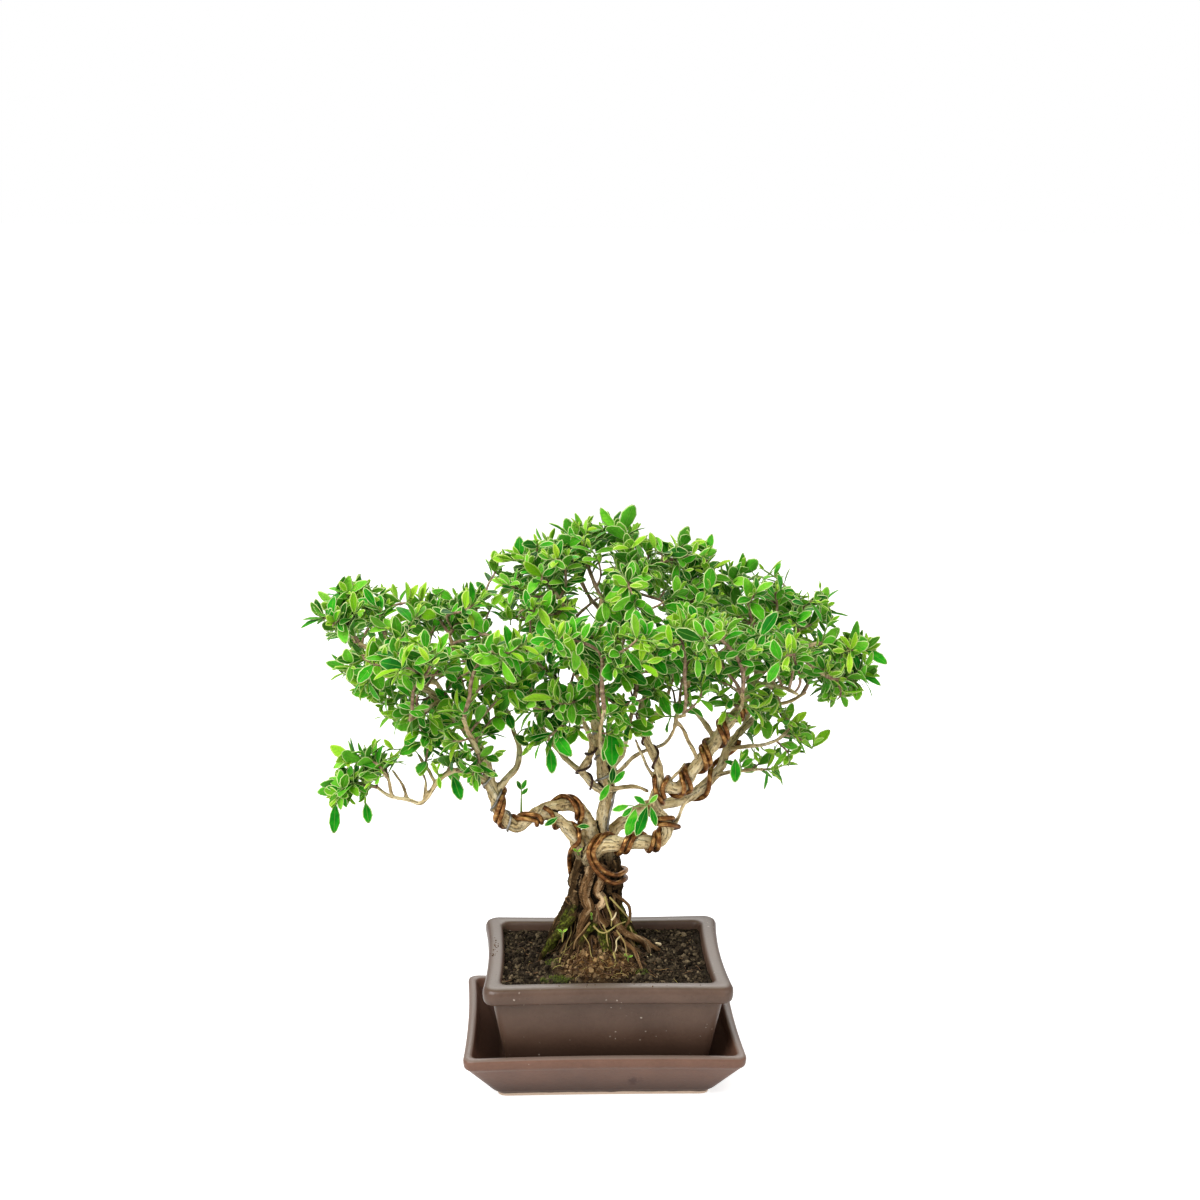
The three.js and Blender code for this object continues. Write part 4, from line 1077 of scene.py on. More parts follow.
def make_wire_piece(name, node, material, points, radius):
    """A wire through the given points, and the balls along it that later wires stay clear of."""
    line, _ = evenly(points, WIRE_STEP)
    radii = np.full(len(line), float(radius))
    shape = Shape()
    shape.add(*tube(line, radii, 12 if radius == THICK_WIRE else 8))
    smooth_shading(show(name, shape.mesh(name), [material], [node]))
    return obstacle_rounds(line, radii)


# Soil and what grows on it

def soil_height(x, y):
    """Height of the smooth soil surface, which rises to the front and to a mound round the trunk."""
    t = np.clip(-y / FRONT_EDGE, 0, 1)
    front = FRONT_RISE * t * t * (3 - 2 * t)
    away = (x - MOUND_X) ** 2 + (y - MOUND_Y) ** 2
    return SOIL_LEVEL + front + MOUND_RISE * np.exp(-away / MOUND_SPREAD)


def rough_soil(x, y):
    """Soil surface with its lumps, which are larger on the fibrous mound."""
    places = [Vector((a * 0.13, b * 0.13, 3)) for a, b in zip(x, y)]
    lumps = np.array([noise.fractal(place, 0.7, 2.1, 4) for place in places])
    return soil_height(x, y) + (0.9 + 1.1 * mound_share(x, y)) * lumps


def mound_share(x, y):
    """1 on the reddish fibrous mound in front of the trunk, 0 away from it."""
    half_x, half_y = FIBROUS_HALF
    away = np.hypot((x - MOUND_X) / half_x, (y - FIBROUS_Y) / half_y)
    return np.clip(1.6 - 1.2 * away, 0, 1)


def make_soil_bed():
    """Soil surface with its side, closed underneath."""
    edge = np.array(bowed_outline(SOIL_HALF, (1.0, 1.0), 4, 34, 8)) + (POT_X, 0)
    count = len(edge)
    points = [np.column_stack([edge * 0.97, np.full(count, SOIL_BOTTOM)])]
    for share in np.linspace(1, 0.02, SOIL_RINGS):
        x, y = (edge * share).T
        points.append(np.column_stack([x, y, rough_soil(x, y)]))
    points = np.vstack(points)
    faces = ring_faces(SOIL_RINGS + 1, count)
    faces.append(tuple(range(count))[::-1])
    faces.append(tuple(range(SOIL_RINGS * count, (SOIL_RINGS + 1) * count)))
    shape = Shape()
    shape.add(points, faces, tone=0.15, red=mound_share(points[:, 0], points[:, 1]))
    smooth_shading(show("soil_bed", shape.mesh("soil_bed"), [soil_dark], ["soil"]))


def lump_template(seed):
    """A small uneven lump, modelled once and copied."""
    bpy.ops.mesh.primitive_ico_sphere_add(subdivisions=1, radius=1.0)
    points, faces = taken_primitive()
    return points * np.random.default_rng(seed).uniform(0.72, 1.2, (len(points), 1)), faces


def random_turns(count, source):
    """Rotation matrices in all directions."""
    w, x, y, z = unit(source.normal(size=(count, 4))).T
    return np.array([
        [1 - 2 * (y * y + z * z), 2 * (x * y - z * w), 2 * (x * z + y * w)],
        [2 * (x * y + z * w), 1 - 2 * (x * x + z * z), 2 * (y * z - x * w)],
        [2 * (x * z - y * w), 2 * (y * z + x * w), 1 - 2 * (x * x + y * y)]]).transpose(2, 0, 1)


def scatter_on_soil(count, source):
    """Places on the soil, inside the pot's mouth."""
    x = source.uniform(-SOWN_X, SOWN_X, count)
    y = source.uniform(-SOWN_Y, SOWN_Y, count)
    return x, y, rough_soil(x, y)


def make_granules():
    """Loose granules on the soil, bark chips on the mound and a few crumbs on the pot's lip."""
    source = np.random.default_rng(GRANULE_SEED)
    lumps = [lump_template(seed) for seed in range(5)]
    x, y, z = scatter_on_soil(GRANULES, source)
    size = 0.4 + source.gamma(1.8, 0.34, GRANULES)
    tone = np.clip(source.beta(1.4, 4.5, GRANULES) + (source.random(GRANULES) < 0.03) * 0.3, 0, 1)
    turns = random_turns(GRANULES, source)
    red = mound_share(x, y) * source.uniform(0.4, 1, GRANULES)
    chips = (mound_share(x, y) > 0.5) & (source.random(GRANULES) < CHIP_SHARE)
    size = np.where(chips, size * CHIP_GROWTH, size)
    tone = np.where(chips, source.beta(1.2, 1.6, GRANULES), tone)
    shape = Shape()
    for i in range(GRANULES):
        points, faces = lumps[i % len(lumps)]
        flat = np.array([1.2, 0.9, 0.75]) * min(size[i], LARGEST_GRANULE)
        placed = (points * flat) @ turns[i].T + (x[i], y[i], z[i] + 0.2 * size[i])
        shape.add(placed, faces, tone=tone[i], red=red[i])
    for i in range(SIDE_CRUMBS + FRONT_CRUMBS):
        if i < SIDE_CRUMBS:
            place = (POT_X - 68 + source.normal(0, 1.3), 6 + source.normal(0, 8), POT_TOP)
        else:
            place = (source.uniform(-62, 60), -51.5 + source.normal(0, 1.2), POT_TOP)
        points, faces = lumps[i % len(lumps)]
        shape.add(points * source.uniform(0.2, 0.5) + place, faces, tone=0.25, red=0.6)
    show("soil_granules", shape.mesh("soil_granules"), [soil_dark], ["soil"])


def make_fibres():
    """Dry fibres that lie in the soil, root hairs that hang from the trunk and thin bare roots."""
    source = np.random.default_rng(FIBRE_SEED)
    shape = Shape()
    for i in range(FIBRES):
        on_mound = i % 5 != 0
        if on_mound:
            x, y = MOUND_X + source.normal(0, 15), -20 + source.normal(0, 11)
            if y < -43.5 or abs(x) > 60:
                continue
        else:
            x, y = source.uniform(-60, 60), source.uniform(-43, 43)
        heading = source.uniform(0, FULL_TURN)
        step = source.uniform(3, 9) / (FIBRE_POINTS - 1)
        bend = source.uniform(-0.6, 0.6)
        line = []
        for _ in range(FIBRE_POINTS):
            line.append((x, y, 0.0))
            x += math.cos(heading) * step
            y += math.sin(heading) * step
            heading += bend
        line = np.array(line)
        if abs(line[:, 0]).max() > 62 or abs(line[:, 1]).max() > 44.5:
            continue
        arch = source.uniform(0.1, 1.2) * np.sin(np.linspace(0, math.pi, FIBRE_POINTS))
        lifted = source.random() * 1.5 if on_mound else 0
        line[:, 2] = rough_soil(line[:, 0], line[:, 1]) + 0.2 + arch + lifted
        tone = source.beta(1.3, 2.6) if on_mound else source.beta(1.2, 3)
        radii = source.uniform(0.1, 0.24) * np.array([0.7, 1, 1, 0.9, 0.5])
        shape.add(*tube(line, radii, 4), tone=tone)
    for i in range(ROOT_HAIRS):
        route = hanging_root(source, source.uniform(84, 112), source.uniform(2, 20))
        radii = (source.uniform(0.25, 0.55), 0.2)
        hair = sample_limb(HAIR_NUMBER + i, radii, route, wander=3.0, spacing=1.8)
        shape.add(*tube(hair["line"], hair["radii"], 5), tone=source.beta(1.2, 2.2))
    for route, thick, tone in FINE_ROOTS:
        line, shares = evenly(route, 1.0)
        shape.add(*tube(line, thick * (0.88 - 0.4 * shares), 6), tone=tone)
    smooth_shading(show("fine_roots", shape.mesh("fine_roots"), [fibre], ["tree"]))


def make_cushion(name, node, centre, size, blades, seed):
    """Moss cushion: a low lumpy dome with short blades all over."""
    source = np.random.default_rng(seed)
    x, y = centre
    bpy.ops.mesh.primitive_ico_sphere_add(subdivisions=4, radius=1.0)
    points, faces = taken_primitive()
    lumps = np.array([noise.fractal(Vector(p * 2.2 + seed), 0.9, 2.0, 3) for p in points])
    body = points * (1 + 0.22 * lumps)[:, None] * size + (x, y, soil_height(x, y) - 0.6)
    shape = Shape()
    shape.add(body, faces, tone=0.1 + 0.3 * lumps)
    upper = np.flatnonzero(points[:, 2] > 0.05)
    for _ in range(blades):
        i = source.choice(upper)
        root = body[i] + source.normal(0, 0.4, 3)
        out = unit(points[i] / size + source.normal(0, 0.25 / max(size), 3) + (0, 0, 0.06))
        length = source.uniform(0.9, 2.2)
        side = unit(np.cross(out, source.normal(size=3)))
        width = source.uniform(0.16, 0.3)
        third = unit(np.cross(out, side))
        back = root - side * width * 0.5
        corners = [root + side * width, back + third * width, back - third * width, root + out * length]
        tones = [0.2, 0.2, 0.2, source.uniform(0.6, 1.0)]
        shape.add(corners, [(0, 1, 3), (1, 2, 3), (2, 0, 3), (0, 2, 1)], tone=tones)
    smooth_shading(show(name, shape.mesh(name), [moss_green], [node]))


# Leaves

def model_leaf(width, fold, arch, tip_lift):
    """One leaf blade along +Y with its face up: a thin closed body of few faces.

    Its values are mm across, share of the length and mm from the margin, and upper is 1 on the face
    and 0 underneath.
    """
    rows = len(LEAF_ROWS)
    bpy.ops.mesh.primitive_grid_add(x_subdivisions=LEAF_COLUMNS, y_subdivisions=rows - 1, size=2)
    points, faces = taken_primitive()
    side = points[:, 0]
    share = np.interp((points[:, 1] + 1) / 2, np.linspace(0, 1, rows), LEAF_ROWS)
    bulge = np.sin(math.pi * np.clip(share, 0.01, 0.99) ** LEAF_WIDEST) ** 0.62
    half = width / 2 * np.maximum(LEAF_END, bulge)
    half = np.where(share > 0.99, LEAF_END * width, half)
    inner = np.maximum(half - LEAF_MARGIN, 0.5 * half)
    x = np.where(np.abs(side) > 0.9, half, np.where(np.abs(side) > 0.1, inner, 0)) * np.sign(side)
    y = share * LEAF_LENGTH
    z = fold * np.abs(x) + arch * LEAF_LENGTH * np.sin(math.pi * share)
    z = z + tip_lift * LEAF_LENGTH * share ** 2
    rim = np.where(share > 0.99, 0, half - np.abs(x))
    on_edge = (np.abs(side) > 0.9) | (share > 0.99) | (share < 0.01)
    top = np.column_stack([x, y, z])
    under = top - np.column_stack([np.zeros((len(x), 2)), np.where(on_edge, 0, LEAF_THICKNESS)])
    kept = [i for i in range(len(points)) if not on_edge[i]]
    place = {i: i for i in range(len(points))}
    place.update({i: len(points) + k for k, i in enumerate(kept)})
    values = np.column_stack([x, share, rim])
    values = np.vstack([values, values[kept]])
    upper = np.concatenate([np.where(on_edge, 0.8, 1.0), np.zeros(len(kept))])
    below = [tuple(place[i] for i in face[::-1]) for face in faces]
    return np.vstack([top, under[kept]]), faces + below, values, upper


class Foliage:
    """Leaves and twigs of one leafy shoot."""

    def __init__(self):
        self.leaves = Shape()
        self.twigs = Shape()

    def add_leaf(self, base, ahead, face, length, youth, source, slim=1.0):
        """A leaf from base, pointing ahead, whose upper side looks towards face."""
        kinds = YOUNG_LEAVES if youth > 0.5 else GROWN_LEAVES
        body, faces, values, upper = kinds[source.integers(len(kinds))]
        scale = length / LEAF_LENGTH
        ahead = unit(ahead)
        face = unit(face - ahead * (face @ ahead))
        turned = np.stack([np.cross(ahead, face), ahead, face])
        points = (body * scale * (slim, 1, 1)) @ turned + base
        values = values * (scale, 1, max(scale, 0.55))
        tone = source.normal(0.48, 0.24)
        kind = np.column_stack([np.full(len(body), tone), np.full(len(body), youth), upper])
        self.leaves.add(points, faces, blade=values, leaf_kind=kind, age=0.0)

    def add_placed_leaf(self, base, tip, source, slim=1.0):
        """A leaf between two given places, with its face to the camera; a short one is young."""
        base, tip = np.array(base, float), np.array(tip, float)
        length = np.linalg.norm(tip - base)
        youth = 0.7 if length < SHORT_LEAF else 0
        self.add_leaf(base, tip - base, TOWARDS_CAMERA, length, youth, source, slim)


def light_from(place):
    """Where leaves at a place turn their faces: up, outwards and a little to the front."""
    out = place - np.array(CROWN_CENTRE)
    return unit(np.array([0, 0, 1.0]) + unit(out) * 0.75 + np.array([0, -0.45, 0]))


def in_gap(place):
    """Whether a place lies in one of the crown's see-through gaps."""
    x, y, z = place
    z += SIGHT_DROP * y
    return any(math.hypot((x - gap_x) / (half_x + GAP_EDGE), (z - gap_z) / (half_z + GAP_EDGE)) < 1
               for gap_x, gap_z, half_x, half_z in GAPS)


def leafy_tip(foliage, places, headings, source, vigour):
    """Pairs of leaves down a twig from its tip, each pair square to the next, smallest at the tip."""
    light = light_from(places[0])
    side = unit(np.cross(headings[0], source.normal(size=3)))
    pairs = min(len(places), source.integers(2, 5))
    for pair in range(pairs):
        ahead = unit(headings[pair] + light * (0.5 if pair < 2 else 0.25))
        young = pair == 0 or (pair == 1 and source.random() < 0.3)
        youth = source.uniform(0.6, 1) if young else source.beta(1.2, 6) * (1.4 if pair == 1 else 0.5)
        if pair == 0:
            length, spread = source.uniform(4.5, 8.5), source.uniform(12, 32)
        else:
            length, spread = source.uniform(9.5, 13.8) + 0.8 * pair, source.uniform(36, 68) + 5 * pair
        side = unit(np.cross(ahead, side) + source.normal(0, 0.25, 3))
        side = unit(side - ahead * (side @ ahead))
        for way in (1, -1):
            if pair > 0 and source.random() < 0.1:
                continue
            out = way * side
            tilt = math.radians(spread) + source.normal(0, 0.24)
            direction = ahead * math.cos(tilt) + out * math.sin(tilt) + source.normal(0, 0.16, 3)
            face = ahead * math.sin(tilt) - out * math.cos(tilt)
            face = unit(face) + light * 0.7 + source.normal(0, 0.35, 3)
            grown = vigour * length * source.uniform(0.85, 1.15)
            if not in_gap(places[pair] + unit(direction) * grown / 2):
                slim = source.uniform(0.82, 1.08)
                foliage.add_leaf(places[pair] + out * 0.3, direction, face, grown, youth, source, slim)


def leafy_side(foliage, place, ahead, source):
    """One pair of older leaves beside a twig."""
    light = light_from(place)
    side = unit(np.cross(ahead, source.normal(size=3)))
    for way in (1, -1):
        if source.random() < 0.3:
            continue
        tilt = math.radians(source.uniform(50, 85))
        out = way * side
        direction = ahead * math.cos(tilt) + out * math.sin(tilt) + (0, 0, 0.15)
        face = ahead * math.sin(tilt) - out * math.cos(tilt) + light
        if not in_gap(place + unit(direction) * 5):
            length = source.uniform(8, 15)
            foliage.add_leaf(place + out * 0.4, direction, face, length, source.beta(1.2, 9), source)


# Crown

def twig_targets():
    """Places for twig tips: at the hanging leaves, and inside the pads where no other is too close."""
    source = np.random.default_rng(TARGET_SEED)
    chosen = [np.array(base, float) for base, _ in HANGING_LEAVES]
    for x, y, z, half_x, half_y, half_z in PADS:
        for _ in range(TRIES_PER_PAD):
            out = unit(source.normal(size=3)) * source.uniform(0.2, 1) ** 0.45
            place = np.array([x, y, z]) + out * (half_x, half_y, half_z)
            if np.min(np.linalg.norm(np.array(chosen) - place, axis=1)) > TIP_SPACING:
                chosen.append(place)
    return np.array(chosen)


class Growth:
    """Twig nodes: where each is, which it grew from, which shoot it belongs to and where it heads."""

    def __init__(self):
        self.places = []
        self.parents = []
        self.owners = []
        self.headings = []

    def start_on(self, limb, owner, first_share):
        """Places starting nodes on a limb, from a share of its length to its end."""
        line = limb["line"]
        heading = unit(np.gradient(line, axis=0))
        for i in range(int(len(line) * first_share), len(line), START_EVERY):
            self.places.append(line[i])
            self.parents.append(-1)
            self.owners.append(owner)
            self.headings.append(heading[i])

    def grow(self, targets):
        """Grows towards the targets and returns the node that reached each one, or -1."""
        source = np.random.default_rng(GROWTH_SEED)
        places = np.array(self.places)
        headings = np.array(self.headings)
        gaps = np.linalg.norm(targets[:, None] - places[None], axis=2)
        nearest, distance = gaps.argmin(1), gaps.min(1)
        reached = np.full(len(targets), -1)
        forks = np.zeros(len(places), int)
        for _ in range(GROWTH_ROUNDS):
            wanting = np.flatnonzero((reached < 0) & (forks[nearest] < MOST_FORKS))
            if len(wanting) == 0:
                break
            pulls = unit(targets[wanting] - places[nearest[wanting]])
            growing, which = np.unique(nearest[wanting], return_inverse=True)
            pull = np.zeros((len(growing), 3))
            np.add.at(pull, which, pulls)
            ahead = unit(unit(pull) + 0.3 * headings[growing] + source.normal(0, 0.2, pull.shape))
            fresh = places[growing] + ahead * TWIG_STEP
            forks[growing] += 1
            numbers = len(places) + np.arange(len(fresh))
            places = np.vstack([places, fresh])
            headings = np.vstack([headings, ahead])
            forks = np.concatenate([forks, np.zeros(len(fresh), int)])
            self.parents.extend(growing.tolist())
            self.owners.extend([self.owners[i] for i in growing])
            gaps = np.linalg.norm(targets[:, None] - fresh[None], axis=2)
            closer = gaps.min(1) < distance
            nearest = np.where(closer, numbers[gaps.argmin(1)], nearest)
            distance = np.minimum(distance, gaps.min(1))
            done = (reached < 0) & (distance < TWIG_STEP)
            reached[done] = nearest[done]
        self.places, self.headings = places, headings
        return reached


def twig_sizes(parents, reached):
    """Thickness of every node from the tips that it carries, 0 where it carries none."""
    load = np.zeros(len(parents))
    load[reached[reached >= 0]] += 1
    for node in range(len(parents) - 1, -1, -1):
        if parents[node] >= 0:
            load[parents[node]] += load[node]
    return np.where(load > 0, np.minimum(TIP_RADIUS * np.maximum(load, 1) ** 0.36, TWIG_LIMIT), 0)


def main_children(parents, sizes):
    """For each node, the thickest node that grew from it, or -1."""
    best = np.full(len(parents), -1)
    for node, parent in enumerate(parents):
        if parent >= 0 and sizes[node] > 0 and (best[parent] < 0 or sizes[node] > sizes[best[parent]]):
            best[parent] = node
    return best


def evened(places, parents, heirs, rooted):
    """Twig places, each moved halfway towards the middle between its neighbours, two times."""
    for _ in range(2):
        moved = places.copy()
        for node in range(rooted, len(parents)):
            if heirs[node] >= 0:
                moved[node] = places[node] / 2 + (places[parents[node]] + places[heirs[node]]) / 4
        places = moved
    return places


def make_crown(boughs, arch):
    """Fine twigs and all the leaves, one piece for each leafy shoot."""
    growth = Growth()
    for owner, limb in enumerate(boughs):
        growth.start_on(limb, owner, BOUGH_BARE)
    growth.start_on(arch, ARCH_OWNER, ARCH_BARE)
    rooted = len(growth.places)
    reached = growth.grow(twig_targets())
    parents = growth.parents
    sizes = twig_sizes(parents, reached)
    heirs = main_children(parents, sizes)
    places = evened(growth.places, parents, heirs, rooted)
    foliage = [Foliage() for _ in shoot_nodes]

    def part_at(place):
        """The shoot that the nearest twig belongs to."""
        nearest = np.linalg.norm(places - place, axis=1).argmin()
        return foliage[growth.owners[int(nearest)]]

    for node in range(rooted, len(parents)):
        starts_chain = parents[node] < rooted or heirs[parents[node]] != node
        if sizes[node] > 0 and starts_chain:
            chain = [parents[node], node]
            while heirs[chain[-1]] >= 0:
                chain.append(heirs[chain[-1]])
            add_twig(foliage[growth.owners[node]], places[chain], [sizes[node], *sizes[chain[1:]]])
    source = np.random.default_rng(LEAF_SEED)
    for node in reached[reached >= 0]:
        part = foliage[growth.owners[node]]
        chain = [node]
        while len(chain) < LEAFY_NODES and parents[chain[-1]] >= rooted:
            chain.append(parents[chain[-1]])
        tip = chain[:TIP_NODES]
        leafy_tip(part, places[tip], growth.headings[tip], source, source.uniform(0.8, 1.15))
        for below in chain[TIP_NODES:]:
            if source.random() < LOWER_PAIRS:
                leafy_side(part, places[below], growth.headings[below], source)
    for base, tip in HANGING_LEAVES:
        part_at(base).add_placed_leaf(base, tip, source)
    for stem, leaves in SPROUTS:
        part = part_at(stem[0])
        line, shares = evenly(stem, 1.5)
        part.twigs.add(*tube(line, SPROUT_RADIUS - 0.4 * shares, 6), age=0.0)
        for base, tip in leaves:
            part.add_placed_leaf(base, tip, source, SPROUT_SLIM)
    for name, part in zip(shoot_nodes, foliage):
        finish_shoot(name, part)


def add_twig(part, nodes, sizes):
    """One twig through its nodes, slightly knotty, with its age from the green tip."""
    line = fine_curve(nodes, 2)
    thick = np.interp(np.arange(len(line)) / 2, np.arange(len(nodes)), sizes)
    knots = np.array([noise.noise(Vector(p * 0.35)) for p in line])
    age = np.repeat((thick - TIP_RADIUS) / 0.3, TWIG_SIDES)
    points, faces = tube(line, thick * (1 + 0.25 * knots), TWIG_SIDES)
    part.twigs.add(points, faces, age=np.append(age, age[[0, -1]]))


def finish_shoot(node, part):
    """Joins a shoot's twigs and leaves into one piece."""
    shape = Shape()
    if part.twigs.count:
        none = np.zeros((part.twigs.count, 3))
        shape.add(np.concatenate(part.twigs.points), part.twigs.faces, blade=none, leaf_kind=none,
                  age=np.concatenate(part.twigs.values["age"]))
    if part.leaves.count:
        values = {label: np.concatenate(parts) for label, parts in part.leaves.values.items()}
        shape.add(np.concatenate(part.leaves.points), part.leaves.faces, **values)
    name = node.replace("leafy_shoot", "foliage")
    piece = show(name, shape.mesh(name), [serissa_twig, serissa_leaf], [node])
    kinds = np.ones(len(piece.data.polygons), np.int32)
    kinds[:len(part.twigs.faces)] = 0
    piece.data.polygons.foreach_set("material_index", kinds)
    smooth_shading(piece)


# Stage, light and camera

def set_stage():
    """Pale floor that runs to the horizon, white surroundings and soft lights."""
    bpy.ops.mesh.primitive_plane_add(size=FLOOR_SIZE)
    floor = bpy.context.object
    floor.name = "studio_floor"
    material, tree, shader = new_material("floor_white")
    seen = put(tree, "LightPath", {}).outputs["Is Camera Ray"]
    feed(tree, shader, {
        "Base Color": (0.9, 0.9, 0.9, 1), "Roughness": 0.9, "Specular IOR Level": 0.0,
        "Emission Color": (1, 1, 1, 1), "Emission Strength": scaled(tree, seen, FLOOR_GLOW)})
    floor.data.materials.append(material)
    world = bpy.data.worlds.new("studio_white")
    world.use_nodes = True
    tree = world.node_tree
    seen = put(tree, "LightPath", {}).outputs["Is Camera Ray"]
    glow = put(tree, "MapRange", {"Value": seen, "To Min": SURROUND, "To Max": 1.0}).outputs["Result"]
    feed(tree, tree.nodes["Background"], {"Color": (1, 1, 1, 1), "Strength": glow})
    bpy.context.scene.world = world
    for name, place, size, power in LIGHTS:
        add_light(name, place, size, power)


def add_light(name, place, size, power):
    """A square soft light, turned to the middle of the tree."""
    light = bpy.data.lights.new(name, "AREA")
    light.size = size
    light.energy = power
    lamp = bpy.data.objects.new(name, light)
    lamp.location = place
    aim = Vector(LIGHT_AIM) - Vector(place)
    lamp.rotation_euler = aim.to_track_quat("-Z", "Y").to_euler()
    bpy.context.collection.objects.link(lamp)


def set_camera():
    """Camera in front of the tree, a little to its left, looking slightly down."""
    yaw, pitch, roll = (math.radians(angle) for angle in CAMERA_ANGLES)
    ahead = Vector((math.sin(yaw) * math.cos(pitch), math.cos(yaw) * math.cos(pitch), -math.sin(pitch)))
    level = Vector((math.cos(yaw), -math.sin(yaw), 0))
    upright = level.cross(ahead)
    right = level * math.cos(roll) + upright * math.sin(roll)
    up = upright * math.cos(roll) - level * math.sin(roll)
    data = bpy.data.cameras.new("camera")
    data.lens = CAMERA_LENS
    data.sensor_width = CAMERA_SENSOR
    camera = bpy.data.objects.new("camera", data)
    turned = Matrix((right, up, -ahead)).transposed().to_4x4()
    camera.matrix_world = Matrix.Translation(CAMERA_PLACE) @ turned
    bpy.context.collection.objects.link(camera)
    bpy.context.scene.camera = camera


# The trunk's core: radii, route

TRUNK = ((15, 12.5, 11.5, 11.5, 11, 9),
         [(-3, 9, 64), (-3, 9, 83), (-3, 9, 106), (-4, 8, 125), (-5, 6, 140), (-5, 5, 147)])

# Exposed roots: name, radii, how bare and tan, how mossy, route

ROOTS = [
    ("left_edge", (4, 4.2, 3.2, 2.6, 2, 1.2), 0.2, 0.7, [(-12, -1, 136), (-16, -3, 125), (-17, -3, 114),
        (-16, -4, 106), (-20, -6, 100), (-28, -7, 90), (-36, -8, 79), (-40, -8, 70)]),
    ("left_behind", (3, 2.2, 1.4), 0.1, 0.7, [(-17, 0, 106), (-23, 0, 95), (-29, 0, 83), (-34, 0, 68)]),
    ("twisted", (3.4, 3.5, 2.9, 2.4, 1.6), 0.95, 0.1, [(-7, -4, 134), (-9, -6, 125), (-11, -8, 115),
        (-8, -10, 109), (-11, -11, 103), (-14, -12, 95), (-16, -15, 80)]),
    ("front_strand", (2.8, 3.0, 2.6, 2.4, 2), 1.0, 0, [(-1, -5, 133), (-2, -6, 124), (-3, -7, 117),
        (1, -8, 112), (-4, -9, 107), (-2, -10, 101), (3, -11, 97)]),
    ("front_thin", (2.6, 2.6, 2, 1.8), 0.15, 0.6, [(-1, -9, 99), (-8, -11, 96), (-13, -14, 88),
        (-16, -17, 78)]),
    ("right_arm", (2.8, 2.5, 2.1, 1.8, 1.2), 0.85, 0.1, [(1, -4, 107), (6, -7, 99), (11, -9, 93),
        (19, -8, 88), (25, -5, 83), (30, 0, 74)]),
    ("right_fork", (2, 1.8, 1.4), 1.0, 0, [(19, -8, 88), (27, -2, 83), (36, 6, 73)]),
    ("right_loop", (1.2, 1.1, 1.1, 1), 0.8, 0.2, [(3, -1, 116), (11, -6, 113), (16, -7, 108),
        (17, -6, 100), (12, -6, 90)]),
    ("straw_root", (1.5, 1.4, 1.2, 1), 1.0, 0.1, [(4, -8, 94), (12, -14, 88), (19, -19, 83),
        (24, -26, 73)]),
    ("right_edge", (3.6, 4, 3.2, 2.4, 1.6), 0.1, 1.0, [(7, 3, 134), (9, 3, 121), (9, 3, 110),
        (10, 3, 100), (16, 4, 90), (25, 7, 76)]),
    ("front_middle", (2.6, 2.4, 1.8), 0.1, 0.6, [(-2, -7, 98), (0, -13, 88), (3, -19, 76)]),
    ("back_right", (4.4, 4.6, 4, 3, 2), 0.1, 0.4, [(3, 15, 136), (6, 18, 120), (5, 19, 108), (9, 21, 98),
        (15, 25, 87), (22, 30, 73)]),
    ("back_middle", (4.4, 4.8, 4.2, 3.4, 2.4), 0.1, 0.4, [(-7, 16, 137), (-6, 20, 122), (-9, 21, 109),
        (-7, 23, 97), (-10, 28, 86), (-13, 35, 71)]),
    ("back_left", (4, 4.4, 4, 3, 2), 0.1, 0.4, [(-13, 11, 136), (-16, 12, 122), (-16, 15, 110),
        (-20, 17, 98), (-26, 20, 86), (-33, 24, 70)]),
]

# Bare lower branches, snags and shoots: name, radii, route

STAYS = [
    ("left_arch", (4.6, 3.8, 3.6, 3.5, 3.4, 3.2, 2.8, 2.2, 1.6, 1.2), [(-5, 4, 138), (-7, 2, 153),
        (-13, 1, 167), (-23, 0, 171), (-34, -2, 170), (-43, -5, 166), (-53, -8, 160), (-62, -10, 169),
        (-66, -10, 179), (-69, -8, 190), (-73, -6, 203), (-83, -10, 223), (-98, -14, 241),
        (-117, -16, 256), (-136, -14, 269), (-146, -11, 276)]),
    ("left_prop", (4.6, 3.8, 3.4, 3.2), [(-12, 0, 136), (-18, -3, 151), (-25, -5, 161), (-34, -5, 166),
        (-43, -5, 166)]),
    ("centre_link", (1.8, 1.4, 1.2), [(2, 5, 178), (10, -2, 182), (19, -10, 186), (26, -17, 185)]),
    ("centre_snag", (1.3, 0.9), [(32, -15, 188), (24, -14, 203), (18, -14, 217)]),
    ("loop_shoot", (1.5, 1.2, 0.9), [(40, -16, 160), (45, -14, 168), (48, -14, 175), (53, -14, 182)]),
    ("fork_snag", (1.2, 0.8), [(38, -14, 189), (44, -14, 196), (48, -14, 202)]),
    ("left_shoot", (1.2, 0.8), [(-118, -15, 180), (-121, -14, 189), (-127, -13, 198)]),
    ("left_spur", (1.1, 0.8), [(-108, -16, 181), (-107, -14, 190), (-110, -12, 199)]),
]

# Boughs that carry the crown, one for each leafy shoot in the frame's order: name, radii, route

